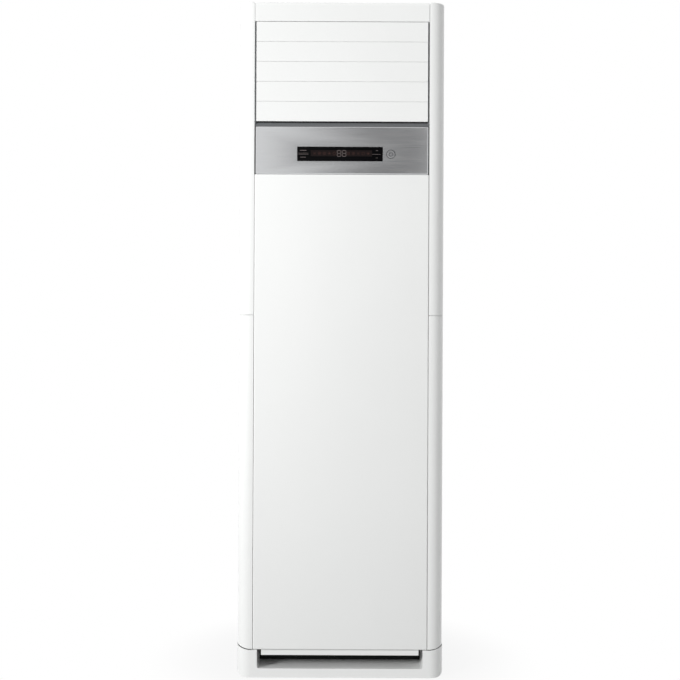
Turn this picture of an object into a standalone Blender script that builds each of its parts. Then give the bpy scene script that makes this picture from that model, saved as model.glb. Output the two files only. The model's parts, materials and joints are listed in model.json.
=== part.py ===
# Floor-standing column air conditioner, indoor unit, as an assembly of its separate pieces.
# Metres, +Z up. The origin is the bottom centre of the base. The front faces -Y, and +X is on the
# right for someone who looks at the front.
import math

import bmesh
import bpy
from mathutils import Matrix, Vector

# Clearances
FIT = 0.0003                  # gap left where two pieces rest on each other
PIVOT_CLEARANCE = 0.0004      # radial play of a turning pin in its hole
CUT_MARGIN = 0.010            # how far a cutter reaches past what it cuts

# Cabinet, seen from above
BASE_WIDTH = 0.570
CABINET_DEPTH = 0.400
COLUMN_INSET = 0.0015         # the columns stand in from the sides of the base
COLUMN_WIDTH = 0.0424         # one side column, seen from the front
COLUMN_DEPTH = 0.2385
COLUMN_SETBACK = 0.0015       # the columns stand back from the front of the base
COLUMN_WALL = 0.0025
CORNER_RADIUS = 0.0375        # outer front corner of a column
REAR_RADIUS = 0.015
SHEET = 0.0012                # painted steel sheet
SEAM = 0.0021                 # open joint between the face panels and the columns
FACE_SETBACK = 0.0005         # the face panels stand back from the front of the base
LANDING_DEPTH = 0.0205        # flange behind the face panels, measured from their front
LANDING_WIDTH = 0.016
ARC_STEPS = 6

# Cabinet, heights of the stacked front pieces
BASE_HEIGHT = 0.076
RIM_RISE = 0.008              # the base's rim climbs towards its outer sides
PANEL_LIFT = 0.0009
FRONT_PANEL_HEIGHT = 1.3067
PANEL_SEAM = 0.0028
CONTROL_HEIGHT = 0.1313
SILL_HEIGHT = 0.0138          # open joint between the control panel and the lowest louvre
LOUVRE_COUNT = 5
LOUVRE_PITCH = 0.0549
TRIM_HEIGHT = 0.054
COLUMN_SPLIT = 0.998          # height of the seam between the lower and the upper columns
SPLIT_SEAM = 0.0009
TOP_RADIUS = 0.008            # rounded top edge of the columns and the trim
LID_THICKNESS = 0.0025
TRIM_RETURN = 0.050           # how far the top trim runs back over the outlet

# Base
BASE_WALL = 0.003
FOOT_RADIUS_X = 0.022         # rounding of the lower corners, seen from the front
FOOT_RADIUS_Z = 0.014
SLOT_INSET = 0.0565            # from the sides of the base to the slot
SLOT_FLOOR = 0.025            # height of the front lip
SLOT_DEPTH = 0.090
SLOT_CORNER = 0.006

# Face panels
PANEL_WALL = 0.002
PANEL_EDGE_RADIUS = 0.003
FLANGE_INSET = 0.0215         # the lower flange, which hangs in the slot, from the panel's sides
FLANGE_DROP = 0.0169
FLANGE_SETBACK = 0.007
WINDOW_WIDTH = 0.236
WINDOW_X = -0.0052            # the window's middle stands a little left of the cabinet's
WINDOW_HEIGHT = 0.040
WINDOW_LIFT = 0.0356          # from the control panel's lower edge to the window
WINDOW_THICKNESS = 0.004
WINDOW_LIP = 0.003
BUTTON_X = 0.135
BUTTON_RADIUS = 0.0108
BUTTON_TRAVEL = 0.0015
BUTTON_DEPTH = 0.0035
RING_WALL = 0.0010
BOARD_THICKNESS = 0.0016
BOARD_GAP = 0.008             # from the back of the control panel to the display board
BOARD_MARGIN = 0.010          # how far the board reaches past the window
BOSS_RADIUS = 0.003

# Louvres, their cranks and drive
LOUVRE_GAP = 0.0009
LOUVRE_END_GAP = 0.0015
LOUVRE_FRONT = 0.0005         # the louvres stand back from the front of the base
LOUVRE_PIVOT_DEPTH = 0.010    # from the front of the base to the pivots
LOUVRE_CROWN = 0.0005
LOUVRE_TIP = 0.005
LOUVRE_BACK = 0.0035
SLAT_STEPS = 6
LOUVRE_PIN_RADIUS = 0.0025
LOUVRE_PIN_REACH = 0.006      # how far a pin runs into the slat
FRAME_WALL = 0.003
FRAME_HEADROOM = 0.0015
FRAME_SETBACK = 0.0035
CRANK_RADIUS = 0.018
CRANK_HUB = 0.0048
CRANK_PIN_RADIUS = 0.002
CRANK_TIP_WALL = 0.002
LINK_THICKNESS = 0.003
LINK_GAP = 0.0005
TIE_HALF_WIDTH = 0.004
DRIVE_SETBACK = 0.040         # from the louvre pivots to the drive shaft
STEPPER_RADIUS = 0.014
STEPPER_LENGTH = 0.019
STEPPER_SHAFT_REACH = 0.0045
STEPPER_EAR = 0.022           # from the drive shaft up to the stand-off posts
EAR_THICKNESS = 0.0015
POST_SPREAD = 0.008
POST_RADIUS = 0.003

# Vertical vanes behind the louvres
VANE_COUNT = 6
VANE_END_GAP = 0.0478         # from the frame's cheeks to the outer vanes
VANE_PIVOT_DEPTH = 0.075      # from the front of the base
VANE_LEAD = 0.027             # blade in front of the pivot
VANE_TRAIL = 0.040
VANE_THICKNESS = 0.0018
VANE_PIN_RADIUS = 0.002
VANE_LIFT = 0.0062            # from the frame's floor to the blade
VANE_HEADROOM = 0.0018
VANE_LINK_ARM = 0.032         # from a vane's pivot to its link pin
VANE_LINK_PIN_RADIUS = 0.0015
VANE_BAR_THICKNESS = 0.003
VANE_BAR_LIFT = 0.0017
VANE_BAR_HALF_WIDTH = 0.004

# Air duct, coil and drip tray
SHELF_TOP = 0.8915
SHELF_THICKNESS = 0.0015
SHELF_FRONT = 0.040           # from the front of the base
DUCT_SIDE_GAP = 0.0071        # from the columns' inner edges to the duct
DUCT_WALL = 0.012
DUCT_FRONT = 0.140            # from the front of the base
DUCT_REAR_GAP = 0.0165        # from the rear panel to the duct
DUCT_TOP_GAP = 0.0125         # under the lid
COIL_HALF_THICKNESS = 0.022
COIL_SPINE = 0.007
COIL_LENGTH = 0.450
COIL_SETBACK = 0.052          # from the front of the duct to the coil's foot
FIN_COUNT = 22
FIN_THICKNESS = 0.006
END_PLATE_MARGIN = 0.004
HEADER_ROOM = 0.033           # beside the coil, for its header
HEADER_RADIUS = 0.008
HEADER_STUB_RADIUS = 0.004
HEADER_STUBS = 6
HEADER_STUB = 0.016           # from the right end plate to the middle of the header
TRAY_BOTTOM = 0.955
TRAY_HEIGHT = 0.035
TRAY_DEPTH = 0.080
TRAY_WALL = 0.002
GAS_PIPE_RADIUS = 0.008
LIQUID_PIPE_RADIUS = 0.005
PIPE_TAP = 0.130              # where the pipes leave the header, from the coil's lower edge
PIPE_SPACING = 0.030
PIPE_GAP = 0.014              # from the duct's side to the pipes that fall beside it
PIPE_BEND = 0.019
PIPE_EXIT_INSET = 0.0685      # from the side of the cabinet to the pipes' ends
PIPE_EXIT_HEIGHT = 0.172
PIPE_HOLE_RADIUS = 0.034
PIPE_CLEARANCE = 0.002

# Blower
FAN_HEIGHT = 0.560
SCROLL_FRONT = 0.140          # from the front of the base
MOTOR_REAR_GAP = 0.0222       # from the rear panel to the fan motor
SCROLL_WALL = 0.002
SCROLL_START_RADIUS = 0.150
NECK_GAP = 0.007              # from the duct's inner side to the neck of the scroll
SCROLL_STEPS = 20
TONGUE_X = 0.060
INLET_RADIUS = 0.118
INLET_FLANGE = 0.015
INLET_DEPTH = 0.014
INLET_TAPER = 0.003
WHEEL_RADIUS = 0.135
WHEEL_RING = 0.009
WHEEL_FRONT_GAP = 0.008
WHEEL_BACK_GAP = 0.018
BLADE_COUNT = 32
BLADE_DEPTH = 0.016
BLADE_THICKNESS = 0.0014
BLADE_STEPS = 3
BLADE_SWEEP = 7.0             # degrees from a blade's inner edge to its outer edge
WHEEL_DISC = 0.002
HUB_RADIUS = 0.015
HUB_LENGTH = 0.020
SHAFT_RADIUS = 0.004
NUT_RADIUS = 0.008
NUT_THICKNESS = 0.006
MOTOR_RADIUS = 0.055
MOTOR_LENGTH = 0.064
MOTOR_FLANGE = 0.070
MOTOR_FLANGE_THICKNESS = 0.0015

# Side intakes
INTAKE_BOTTOM = 0.127
INTAKE_HEIGHT = 0.757
INTAKE_FRONT = 0.070          # from the front of the base
INTAKE_WIDTH = 0.160
GRILLE_THICKNESS = 0.003
GRILLE_GAP = 0.0006
GRILLE_HINGE_GAP = 0.0015
GRILLE_HINGE_INSET = 0.002
GRILLE_RIM = 0.009
GRILLE_SLATS = 28
GRILLE_SLAT_SHARE = 0.45
FILTER_THICKNESS = 0.005
FILTER_MARGIN = 0.006
FILTER_RIM = 0.007
FILTER_ROWS = 6
FILTER_RIB_SHARE = 0.06
FILTER_HINGE_MARGIN = 0.012

# Electrical box and wall bracket
BOX_WIDTH = 0.220
BOX_INSET = 0.0935            # from the left side of the cabinet to the box
BOX_BOTTOM = 0.120
BOX_HEIGHT = 0.180
BOX_DEPTH = 0.080
TERMINAL_WIDTH = 0.070
TERMINAL_HEIGHT = 0.025
TERMINAL_DEPTH = 0.024
TERMINAL_MARGIN = 0.030
TERMINAL_WALLS = 7
TERMINAL_WALL = 0.002
BRACKET_WIDTH = 0.120
BRACKET_HEIGHT = 0.040
BRACKET_THICKNESS = 0.002
BRACKET_DROP = 0.050          # from the top of the cabinet to the middle of the bracket
BRACKET_HOLE_RADIUS = 0.003
BRACKET_HOLE_SPACING = 0.080

# Places worked out from the sizes above
FRONT = -CABINET_DEPTH / 2
BACK = CABINET_DEPTH / 2
SIDE = BASE_WIDTH / 2 - COLUMN_INSET
COLUMN_FRONT = FRONT + COLUMN_SETBACK
COLUMN_BACK = COLUMN_FRONT + COLUMN_DEPTH
COLUMN_EDGE = SIDE - COLUMN_WIDTH
FACE = COLUMN_EDGE - SEAM
FACE_Y = FRONT + FACE_SETBACK
LANDING_Y = FACE_Y + LANDING_DEPTH
REAR_FACE = BACK - BRACKET_THICKNESS - FIT
REAR_INNER = REAR_FACE - SHEET
PANEL_BOTTOM = BASE_HEIGHT + PANEL_LIFT
CONTROL_BOTTOM = PANEL_BOTTOM + FRONT_PANEL_HEIGHT + PANEL_SEAM
CONTROL_TOP = CONTROL_BOTTOM + CONTROL_HEIGHT
LOUVRE_BOTTOM = CONTROL_TOP + SILL_HEIGHT
LOUVRE_TOP = LOUVRE_BOTTOM + LOUVRE_COUNT * LOUVRE_PITCH
HEIGHT = LOUVRE_TOP + TRIM_HEIGHT
TRIM_BACK = FACE_Y + TRIM_RETURN
FRAME_OUT = COLUMN_EDGE - FIT
FRAME_IN = FRAME_OUT - FRAME_WALL
FRAME_BOTTOM = CONTROL_TOP + 2 * FIT
FRAME_FLOOR = FRAME_BOTTOM + FRAME_WALL
FRAME_CEILING = LOUVRE_TOP + FRAME_HEADROOM
FRAME_TOP = FRAME_CEILING + FRAME_WALL
LOUVRE_PIVOT_Y = FRONT + LOUVRE_PIVOT_DEPTH
CRANK_X = FRAME_OUT + LINK_GAP
TIE_X = CRANK_X + LINK_THICKNESS + LINK_GAP
DRIVE_X = TIE_X + LINK_THICKNESS + LINK_GAP
STEPPER_X = DRIVE_X + LINK_THICKNESS + STEPPER_SHAFT_REACH
VANE_PIVOT_Y = FRONT + VANE_PIVOT_DEPTH
VANE_PITCH = 2 * (FRAME_IN - VANE_END_GAP) / (VANE_COUNT - 1)
SHELF_BOTTOM = SHELF_TOP - SHELF_THICKNESS
DUCT_Y = FRONT + DUCT_FRONT
FRAME_BACK = DUCT_Y - FIT
DUCT_BACK = REAR_INNER - DUCT_REAR_GAP
DUCT_HALF_WIDTH = COLUMN_EDGE - DUCT_SIDE_GAP
DUCT_INNER = DUCT_HALF_WIDTH - DUCT_WALL
SCROLL_Y = FRONT + SCROLL_FRONT
SCROLL_BACK = REAR_INNER - MOTOR_REAR_GAP - MOTOR_LENGTH - FIT
SCROLL_END_RADIUS = DUCT_INNER - NECK_GAP
PLATE_HALF = COIL_HALF_THICKNESS + END_PLATE_MARGIN
PIPE_X = DUCT_HALF_WIDTH + PIPE_GAP + GAS_PIPE_RADIUS
PIPE_EXIT_X = SIDE - PIPE_EXIT_INSET


def clear_scene():
    for obj in list(bpy.data.objects):
        bpy.data.objects.remove(obj, do_unlink=True)


def new_collection(name):
    collection = bpy.data.collections.new(name)
    bpy.context.scene.collection.children.link(collection)
    return collection


def new_material(name, colour, roughness, metallic=0.0):
    material = bpy.data.materials.new(name)
    material.use_nodes = True
    shader = material.node_tree.nodes["Principled BSDF"]
    shader.inputs["Base Color"].default_value = (*colour, 1.0)
    shader.inputs["Roughness"].default_value = roughness
    shader.inputs["Metallic"].default_value = metallic
    return material


clear_scene()
PARTS = new_collection("column_air_conditioner")
CUTTERS = new_collection("cutters")
WHITE_ABS = ((0.86, 0.87, 0.86), 0.35)
WHITE_STEEL = ((0.84, 0.85, 0.84), 0.40)
BRUSHED_PANEL = ((0.50, 0.50, 0.49), 0.35, 0.9)
BLACK_ACRYLIC = ((0.01, 0.01, 0.012), 0.10)
GREY_RING = ((0.35, 0.35, 0.35), 0.30, 0.8)
BOARD_GREEN = ((0.02, 0.16, 0.07), 0.50)
GREY_NYLON = ((0.55, 0.56, 0.56), 0.50)
ZINC_STEEL = ((0.60, 0.61, 0.62), 0.40, 0.9)
FOAM = ((0.80, 0.80, 0.78), 0.90)
ALUMINIUM = ((0.72, 0.73, 0.75), 0.35, 1.0)
COPPER = ((0.80, 0.42, 0.26), 0.30, 1.0)
BLACK_PLASTIC = ((0.03, 0.03, 0.03), 0.50)
FILTER_BLUE = ((0.30, 0.36, 0.42), 0.80)


# Helpers

def finish(obj, finish_of, collection=None):
    """Links an object as a part in its own material, or as a hidden cutter."""
    if collection is CUTTERS:
        CUTTERS.objects.link(obj)
        obj.hide_render = True
        obj.display_type = "WIRE"
        return obj
    PARTS.objects.link(obj)
    obj.data.materials.clear()
    obj.data.materials.append(new_material(obj.name + "_finish", *finish_of))
    return obj


def from_bmesh(name, bm, finish_of=None):
    bmesh.ops.recalc_face_normals(bm, faces=bm.faces)
    mesh = bpy.data.meshes.new(name)
    bm.to_mesh(mesh)
    bm.free()
    obj = bpy.data.objects.new(name, mesh)
    return finish(obj, finish_of, None if finish_of else CUTTERS)


def add_box(bm, low, high):
    size = [abs(h - l) for l, h in zip(low, high)]
    middle = [(h + l) / 2 for l, h in zip(low, high)]
    place = Matrix.Translation(middle) @ Matrix.Diagonal((*size, 1.0))
    return bmesh.ops.create_cube(bm, size=1.0, matrix=place)["verts"]


def box(name, low, high, finish_of=None):
    bm = bmesh.new()
    add_box(bm, low, high)
    return from_bmesh(name, bm, finish_of)


def add_rod(bm, start, end, radius, sides):
    start, end = Vector(start), Vector(end)
    turn = (end - start).to_track_quat("Z", "Y").to_matrix().to_4x4()
    place = Matrix.Translation((start + end) / 2) @ turn
    bmesh.ops.create_cone(
        bm, cap_ends=True, segments=sides, radius1=radius, radius2=radius,
        depth=(end - start).length, matrix=place,
    )


def rods(name, ends, radius, sides=10, finish_of=None):
    """Round bars between pairs of points, as one mesh."""
    bm = bmesh.new()
    for start, end in ends:
        add_rod(bm, start, end, radius, sides)
    return from_bmesh(name, bm, finish_of)


AXES = {
    "Z": Matrix.Identity(4),
    "X": Matrix(((0, 0, 1, 0), (1, 0, 0, 0), (0, 1, 0, 0), (0, 0, 0, 1))),
    "Y": Matrix(((1, 0, 0, 0), (0, 0, -1, 0), (0, 1, 0, 0), (0, 0, 0, 1))),
}


TO_Y = Matrix(((1, 0, 0, 0), (0, 0, 1, 0), (0, -1, 0, 0), (0, 0, 0, 1)))


def plate(name, outlines, axis, low, high, finish_of=None):
    """A flat outline, with further outlines as its holes, between two places along an axis.

    Its points are (y, z) for X, (x, z) for Y and (x, y) for Z.
    """
    curve = bpy.data.curves.new(name, "CURVE")
    curve.dimensions = "2D"
    curve.fill_mode = "BOTH"
    curve.extrude = (high - low) / 2
    for outline in outlines:
        spline = curve.splines.new("POLY")
        spline.points.add(len(outline) - 1)
        for point, (u, v) in zip(spline.points, outline):
            point.co = (u, v, 0.0, 1.0)
        spline.use_cyclic_u = True
    drawn = bpy.data.objects.new(name + "_outline", curve)
    bpy.context.scene.collection.objects.link(drawn)
    graph = bpy.context.evaluated_depsgraph_get()
    mesh = bpy.data.meshes.new_from_object(drawn.evaluated_get(graph))
    bpy.data.objects.remove(drawn)
    middle = (low + high) / 2
    bm = bmesh.new()
    bm.from_mesh(mesh)
    bpy.data.meshes.remove(mesh)
    bmesh.ops.remove_doubles(bm, verts=bm.verts, dist=0.00001)
    shift = Matrix.Translation((0, 0, -middle if axis == "Y" else middle))
    bmesh.ops.transform(bm, matrix=AXES[axis] @ shift, verts=bm.verts)
    return from_bmesh(name, bm, finish_of)


def sheet(name, path, low, high, wall, finish_of=None, axis="Z"):
    """A bent sheet that follows a path and spans an axis. Its wall grows to the left of the path.

    low and high are lengths, or functions of a path point.
    """
    bottom = low if callable(low) else lambda point: low
    top = high if callable(high) else lambda point: high
    bm = bmesh.new()
    feet = [bm.verts.new((u, v, bottom((u, v)))) for u, v in path]
    heads = [bm.verts.new((u, v, top((u, v)))) for u, v in path]
    for i in range(len(path) - 1):
        bm.faces.new((feet[i], feet[i + 1], heads[i + 1], heads[i]))
    bmesh.ops.transform(bm, matrix=AXES[axis], verts=bm.verts)
    mesh = bpy.data.meshes.new(name)
    bm.to_mesh(mesh)
    bm.free()
    obj = finish(bpy.data.objects.new(name, mesh), finish_of, None if finish_of else CUTTERS)
    thicken(obj, wall)
    return obj


def thicken(obj, wall):
    modifier = obj.modifiers.new("wall", "SOLIDIFY")
    modifier.thickness = wall
    modifier.offset = -1.0
    modifier.use_even_offset = True


def turned(name, profile, centre, finish_of=None, steps=32):
    """A turned piece on an axis along Y through centre. The profile's points are (radius, y)."""
    pairs = list(zip(profile, profile[1:] + profile[:1]))
    area = sum(a[0] * b[1] - b[0] * a[1] for a, b in pairs)
    points = [(radius, 0.0, y) for radius, y in (profile if area < 0 else profile[::-1])]
    edges = [(i, (i + 1) % len(points)) for i in range(len(points))]
    if points[0][0] == 0 and points[-1][0] == 0:
        edges.pop()
    mesh = bpy.data.meshes.new(name)
    mesh.from_pydata(points, edges, [])
    obj = finish(bpy.data.objects.new(name, mesh), finish_of, None if finish_of else CUTTERS)
    modifier = obj.modifiers.new("turn", "SCREW")
    modifier.steps = steps
    modifier.render_steps = steps
    modifier.use_merge_vertices = True
    modifier.merge_threshold = 0.00001
    obj.matrix_world = Matrix.Translation((centre[0], 0.0, centre[1])) @ TO_Y
    return obj


def combine(obj, other, operation):
    modifier = obj.modifiers.new(operation.lower() + "_" + other.name, "BOOLEAN")
    modifier.operation = operation
    modifier.solver = "EXACT"
    modifier.object = other
    return obj


def cut(obj, other):
    return combine(obj, other, "DIFFERENCE")


def fuse(obj, other):
    return combine(obj, other, "UNION")


def settle(obj, origin=(0.0, 0.0, 0.0)):
    """Turns an object's modifiers into its plain mesh, with its origin at a point."""
    graph = bpy.context.evaluated_depsgraph_get()
    mesh = bpy.data.meshes.new_from_object(obj.evaluated_get(graph))
    mesh.transform(Matrix.Translation([-value for value in origin]) @ obj.matrix_world)
    obj.modifiers.clear()
    obj.data = mesh
    obj.matrix_world = Matrix.Translation(origin)
    return obj


def copy_of(mesh, name, place):
    twin = bpy.data.objects.new(name, mesh)
    PARTS.objects.link(twin)
    twin.location = place
    return twin


def arc(centre, radius, start, end, steps):
    """Points on an arc, both ends included. Angles are in degrees."""
    points = []
    for i in range(steps + 1):
        angle = math.radians(start + (end - start) * i / steps)
        points.append((centre[0] + radius * math.cos(angle), centre[1] + radius * math.sin(angle)))
    return points


def circle(centre, radius, sides):
    return arc(centre, radius, 0, 360, sides)[:-1]


def rectangle(low, high):
    return [(low[0], low[1]), (high[0], low[1]), (high[0], high[1]), (low[0], high[1])]


def mirror_of(obj, name):
    """The matching piece on the other side of the cabinet."""
    mesh = obj.data.copy()
    mesh.transform(Matrix.Scale(-1.0, 4, (1.0, 0.0, 0.0)))
    mesh.flip_normals()
    return copy_of(mesh, name, (-obj.location.x, obj.location.y, obj.location.z))


# Cabinet

def rim(point):
    """Height of the base's rim at a place. It climbs towards the outer sides."""
    share = max(0.0, (abs(point[0]) - COLUMN_EDGE) / COLUMN_WIDTH)
    return BASE_HEIGHT + RIM_RISE * share * share


def rim_seat(point):
    return rim(point) + FIT


def both_sides(right):
    """An outline from its right-hand half, which runs from the bottom or front to the top or rear."""
    return right + [(-u, v) for u, v in reversed(right)]


def base_plan(inset):
    half = BASE_WIDTH / 2 - inset
    front_radius = CORNER_RADIUS + COLUMN_INSET - inset
    rear_radius = REAR_RADIUS - inset
    front = (half - front_radius, FRONT + inset + front_radius)
    rear = (half - rear_radius, BACK - inset - rear_radius)
    return both_sides(
        arc(front, front_radius, -90, 0, ARC_STEPS) + arc(rear, rear_radius, 0, 90, ARC_STEPS // 2)
    )


def base_front(inset, top):
    """The base seen from the front: rounded feet, and a rim unless a plain top is given."""
    half = BASE_WIDTH / 2 - inset
    right = []
    for i in range(ARC_STEPS + 1):
        angle = math.pi / 2 * i / ARC_STEPS
        x = half - FOOT_RADIUS_X * (1 - math.sin(angle))
        right.append((x, inset + FOOT_RADIUS_Z * (1 - math.cos(angle))))
    if top:
        return both_sides(right + [(half, top)])
    for i in range(ARC_STEPS + 1):
        x = half - (half - COLUMN_EDGE) * i / ARC_STEPS
        right.append((x, rim((x, 0))))
    return both_sides(right)


def make_base():
    top = BASE_HEIGHT + 2 * RIM_RISE
    front, back = FRONT - CUT_MARGIN, BACK + CUT_MARGIN
    slot_back = FRONT + SLOT_DEPTH
    half = BASE_WIDTH / 2 - SLOT_INSET
    wall = half + BASE_WALL
    base = plate("base", [base_plan(0)], "Z", 0.0, top, WHITE_ABS)
    combine(base, plate("base_silhouette", [base_front(0, 0)], "Y", front, back), "INTERSECT")
    hollow = plate("base_hollow", [base_plan(BASE_WALL)], "Z", 0.0, top + CUT_MARGIN)
    inner = base_front(BASE_WALL, top + 2 * CUT_MARGIN)
    combine(hollow, plate("hollow_silhouette", [inner], "Y", front, back), "INTERSECT")
    keep = (wall, slot_back + BASE_WALL, top + 3 * CUT_MARGIN)
    cut(hollow, box("slot_surround", (-wall, front, -CUT_MARGIN), keep))
    cut(base, hollow)
    low = SLOT_FLOOR + SLOT_CORNER
    slot = both_sides(
        arc((half - SLOT_CORNER, low), SLOT_CORNER, -90, 0, 3) + [(half, top + CUT_MARGIN)]
    )
    cut(base, plate("toe_slot", [slot], "Y", front, slot_back))
    relief_half = half - BASE_WALL
    relief_low = (-relief_half, FRONT + 2 * BASE_WALL, -CUT_MARGIN)
    relief_high = (relief_half, slot_back - BASE_WALL, SLOT_FLOOR - BASE_WALL)
    cut(base, box("underside_relief", relief_low, relief_high))


def column_path():
    """A right-hand column from above: landing flange, return, front, rounded corner and side."""
    centre = (SIDE - CORNER_RADIUS, COLUMN_FRONT + CORNER_RADIUS)
    start = [
        (COLUMN_EDGE - LANDING_WIDTH, LANDING_Y),
        (COLUMN_EDGE, LANDING_Y),
        (COLUMN_EDGE, COLUMN_FRONT),
    ]
    return start + arc(centre, CORNER_RADIUS, -90, 0, ARC_STEPS) + [(SIDE, COLUMN_BACK)]


def make_lower_columns():
    top = COLUMN_SPLIT - SPLIT_SEAM / 2
    right = sheet("column_lower_right", column_path(), rim_seat, top, COLUMN_WALL, WHITE_ABS)
    opening_low = (SIDE - CORNER_RADIUS, FRONT + INTAKE_FRONT, INTAKE_BOTTOM)
    opening_high = (SIDE + CUT_MARGIN, opening_low[1] + INTAKE_WIDTH, INTAKE_BOTTOM + INTAKE_HEIGHT)
    cut(right, box("intake_opening", opening_low, opening_high))
    mirror_of(settle(right), "column_lower_left")


def make_upper_columns():
    """The upper columns have a closed, rounded top. Beside the louvres they have no landing flange."""
    low = COLUMN_SPLIT + SPLIT_SEAM / 2
    path = column_path()
    bm = bmesh.new()
    feet = [bm.verts.new((x, y, low)) for x, y in path]
    heads = [bm.verts.new((x, y, HEIGHT)) for x, y in path]
    for i in range(len(path) - 1):
        bm.faces.new((feet[i], feet[i + 1], heads[i + 1], heads[i]))
    inner = bm.verts.new((COLUMN_EDGE, COLUMN_BACK, HEIGHT))
    bm.faces.new(heads[1:] + [inner])
    shoulder = [bm.edges.get((a, b)) for a, b in zip(heads[2:], heads[3:])]
    bmesh.ops.bevel(
        bm, geom=shoulder, offset=TOP_RADIUS, segments=3, profile=0.5, affect="EDGES"
    )
    mesh = bpy.data.meshes.new("column_upper_right")
    bm.to_mesh(mesh)
    bm.free()
    right = finish(bpy.data.objects.new("column_upper_right", mesh), WHITE_ABS)
    thicken(right, COLUMN_WALL)
    notch_low = (0.0, COLUMN_FRONT + COLUMN_WALL + FIT, CONTROL_TOP + FIT)
    notch_high = (CRANK_X + LINK_THICKNESS, LANDING_Y + CUT_MARGIN, HEIGHT - COLUMN_WALL - FIT)
    cut(right, box("louvre_notch", notch_low, notch_high))
    landing_high = (COLUMN_EDGE, notch_high[1], HEIGHT + CUT_MARGIN)
    cut(right, box("landing_end", notch_low, landing_high))
    mirror_of(settle(right), "column_upper_left")


def rear_path():
    centre = (SIDE - REAR_RADIUS, REAR_FACE - REAR_RADIUS)
    right = [(SIDE, COLUMN_BACK + FIT)] + arc(centre, REAR_RADIUS, 0, 90, ARC_STEPS // 2)
    return both_sides(right + [(COLUMN_EDGE, REAR_FACE)])


def make_rear_panels():
    split = SPLIT_SEAM / 2
    lower = sheet(
        "rear_panel_lower", rear_path(), rim_seat, COLUMN_SPLIT - split, SHEET, WHITE_STEEL
    )
    x, z = PIPE_EXIT_X, PIPE_EXIT_HEIGHT
    ends = [((x, REAR_INNER - CUT_MARGIN, z), (x, BACK + CUT_MARGIN, z))]
    cut(lower, rods("pipe_hole", ends, PIPE_HOLE_RADIUS, 20))
    top = HEIGHT - LID_THICKNESS - FIT
    sheet("rear_panel_upper", rear_path(), COLUMN_SPLIT + split, top, SHEET, WHITE_STEEL)


def make_top():
    path = [(TRIM_BACK, HEIGHT)]
    path += arc((FACE_Y + TOP_RADIUS, HEIGHT - TOP_RADIUS), TOP_RADIUS, 90, 180, ARC_STEPS // 2)
    path.append((FACE_Y, LOUVRE_TOP + LOUVRE_GAP))
    sheet("top_trim", path, -FACE, FACE, LID_THICKNESS, WHITE_ABS, "X")
    inner = COLUMN_EDGE - FIT
    shoulder = COLUMN_BACK + FIT
    centre = (SIDE - REAR_RADIUS, REAR_FACE - REAR_RADIUS)
    right = [(inner, TRIM_BACK + FIT), (inner, shoulder), (SIDE, shoulder)]
    right += arc(centre, REAR_RADIUS, 0, 90, ARC_STEPS // 2)
    plate("top_cover", [both_sides(right)], "Z", HEIGHT - LID_THICKNESS, HEIGHT, WHITE_ABS)


def make_wall_bracket():
    middle = HEIGHT - BRACKET_DROP
    half = (BRACKET_WIDTH / 2, BRACKET_HEIGHT / 2)
    outlines = [rectangle((-half[0], middle - half[1]), (half[0], middle + half[1]))]
    for x in (-BRACKET_HOLE_SPACING / 2, BRACKET_HOLE_SPACING / 2):
        outlines.append(circle((x, middle), BRACKET_HOLE_RADIUS, 12))
    plate("wall_bracket", outlines, "Y", REAR_FACE + FIT, BACK, ZINC_STEEL)


# Face panels and controls

def pan(name, bottom, top, finish_of):
    """A face panel with rounded edges and returns that reach back to the columns' landing."""
    bm = bmesh.new()
    add_box(bm, (-FACE, FACE_Y, bottom), (FACE, LANDING_Y - FIT, top))
    bm.normal_update()
    back = [face for face in bm.faces if face.normal.y > 0.5]
    bmesh.ops.delete(bm, geom=back, context="FACES_ONLY")
    bmesh.ops.bevel(
        bm, geom=[edge for edge in bm.edges if len(edge.link_faces) == 2],
        offset=PANEL_EDGE_RADIUS, segments=2, profile=0.5, affect="EDGES",
    )
    obj = from_bmesh(name, bm, finish_of)
    thicken(obj, PANEL_WALL)
    return obj


def make_front_panel():
    panel = pan("front_panel", PANEL_BOTTOM, PANEL_BOTTOM + FRONT_PANEL_HEIGHT, WHITE_STEEL)
    half = FACE - FLANGE_INSET
    front = FACE_Y + FLANGE_SETBACK
    low = (-half, front, PANEL_BOTTOM - FLANGE_DROP)
    high = (half, front + PANEL_WALL, PANEL_BOTTOM + PANEL_WALL / 2)
    fuse(panel, box("lower_flange", low, high))


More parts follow.
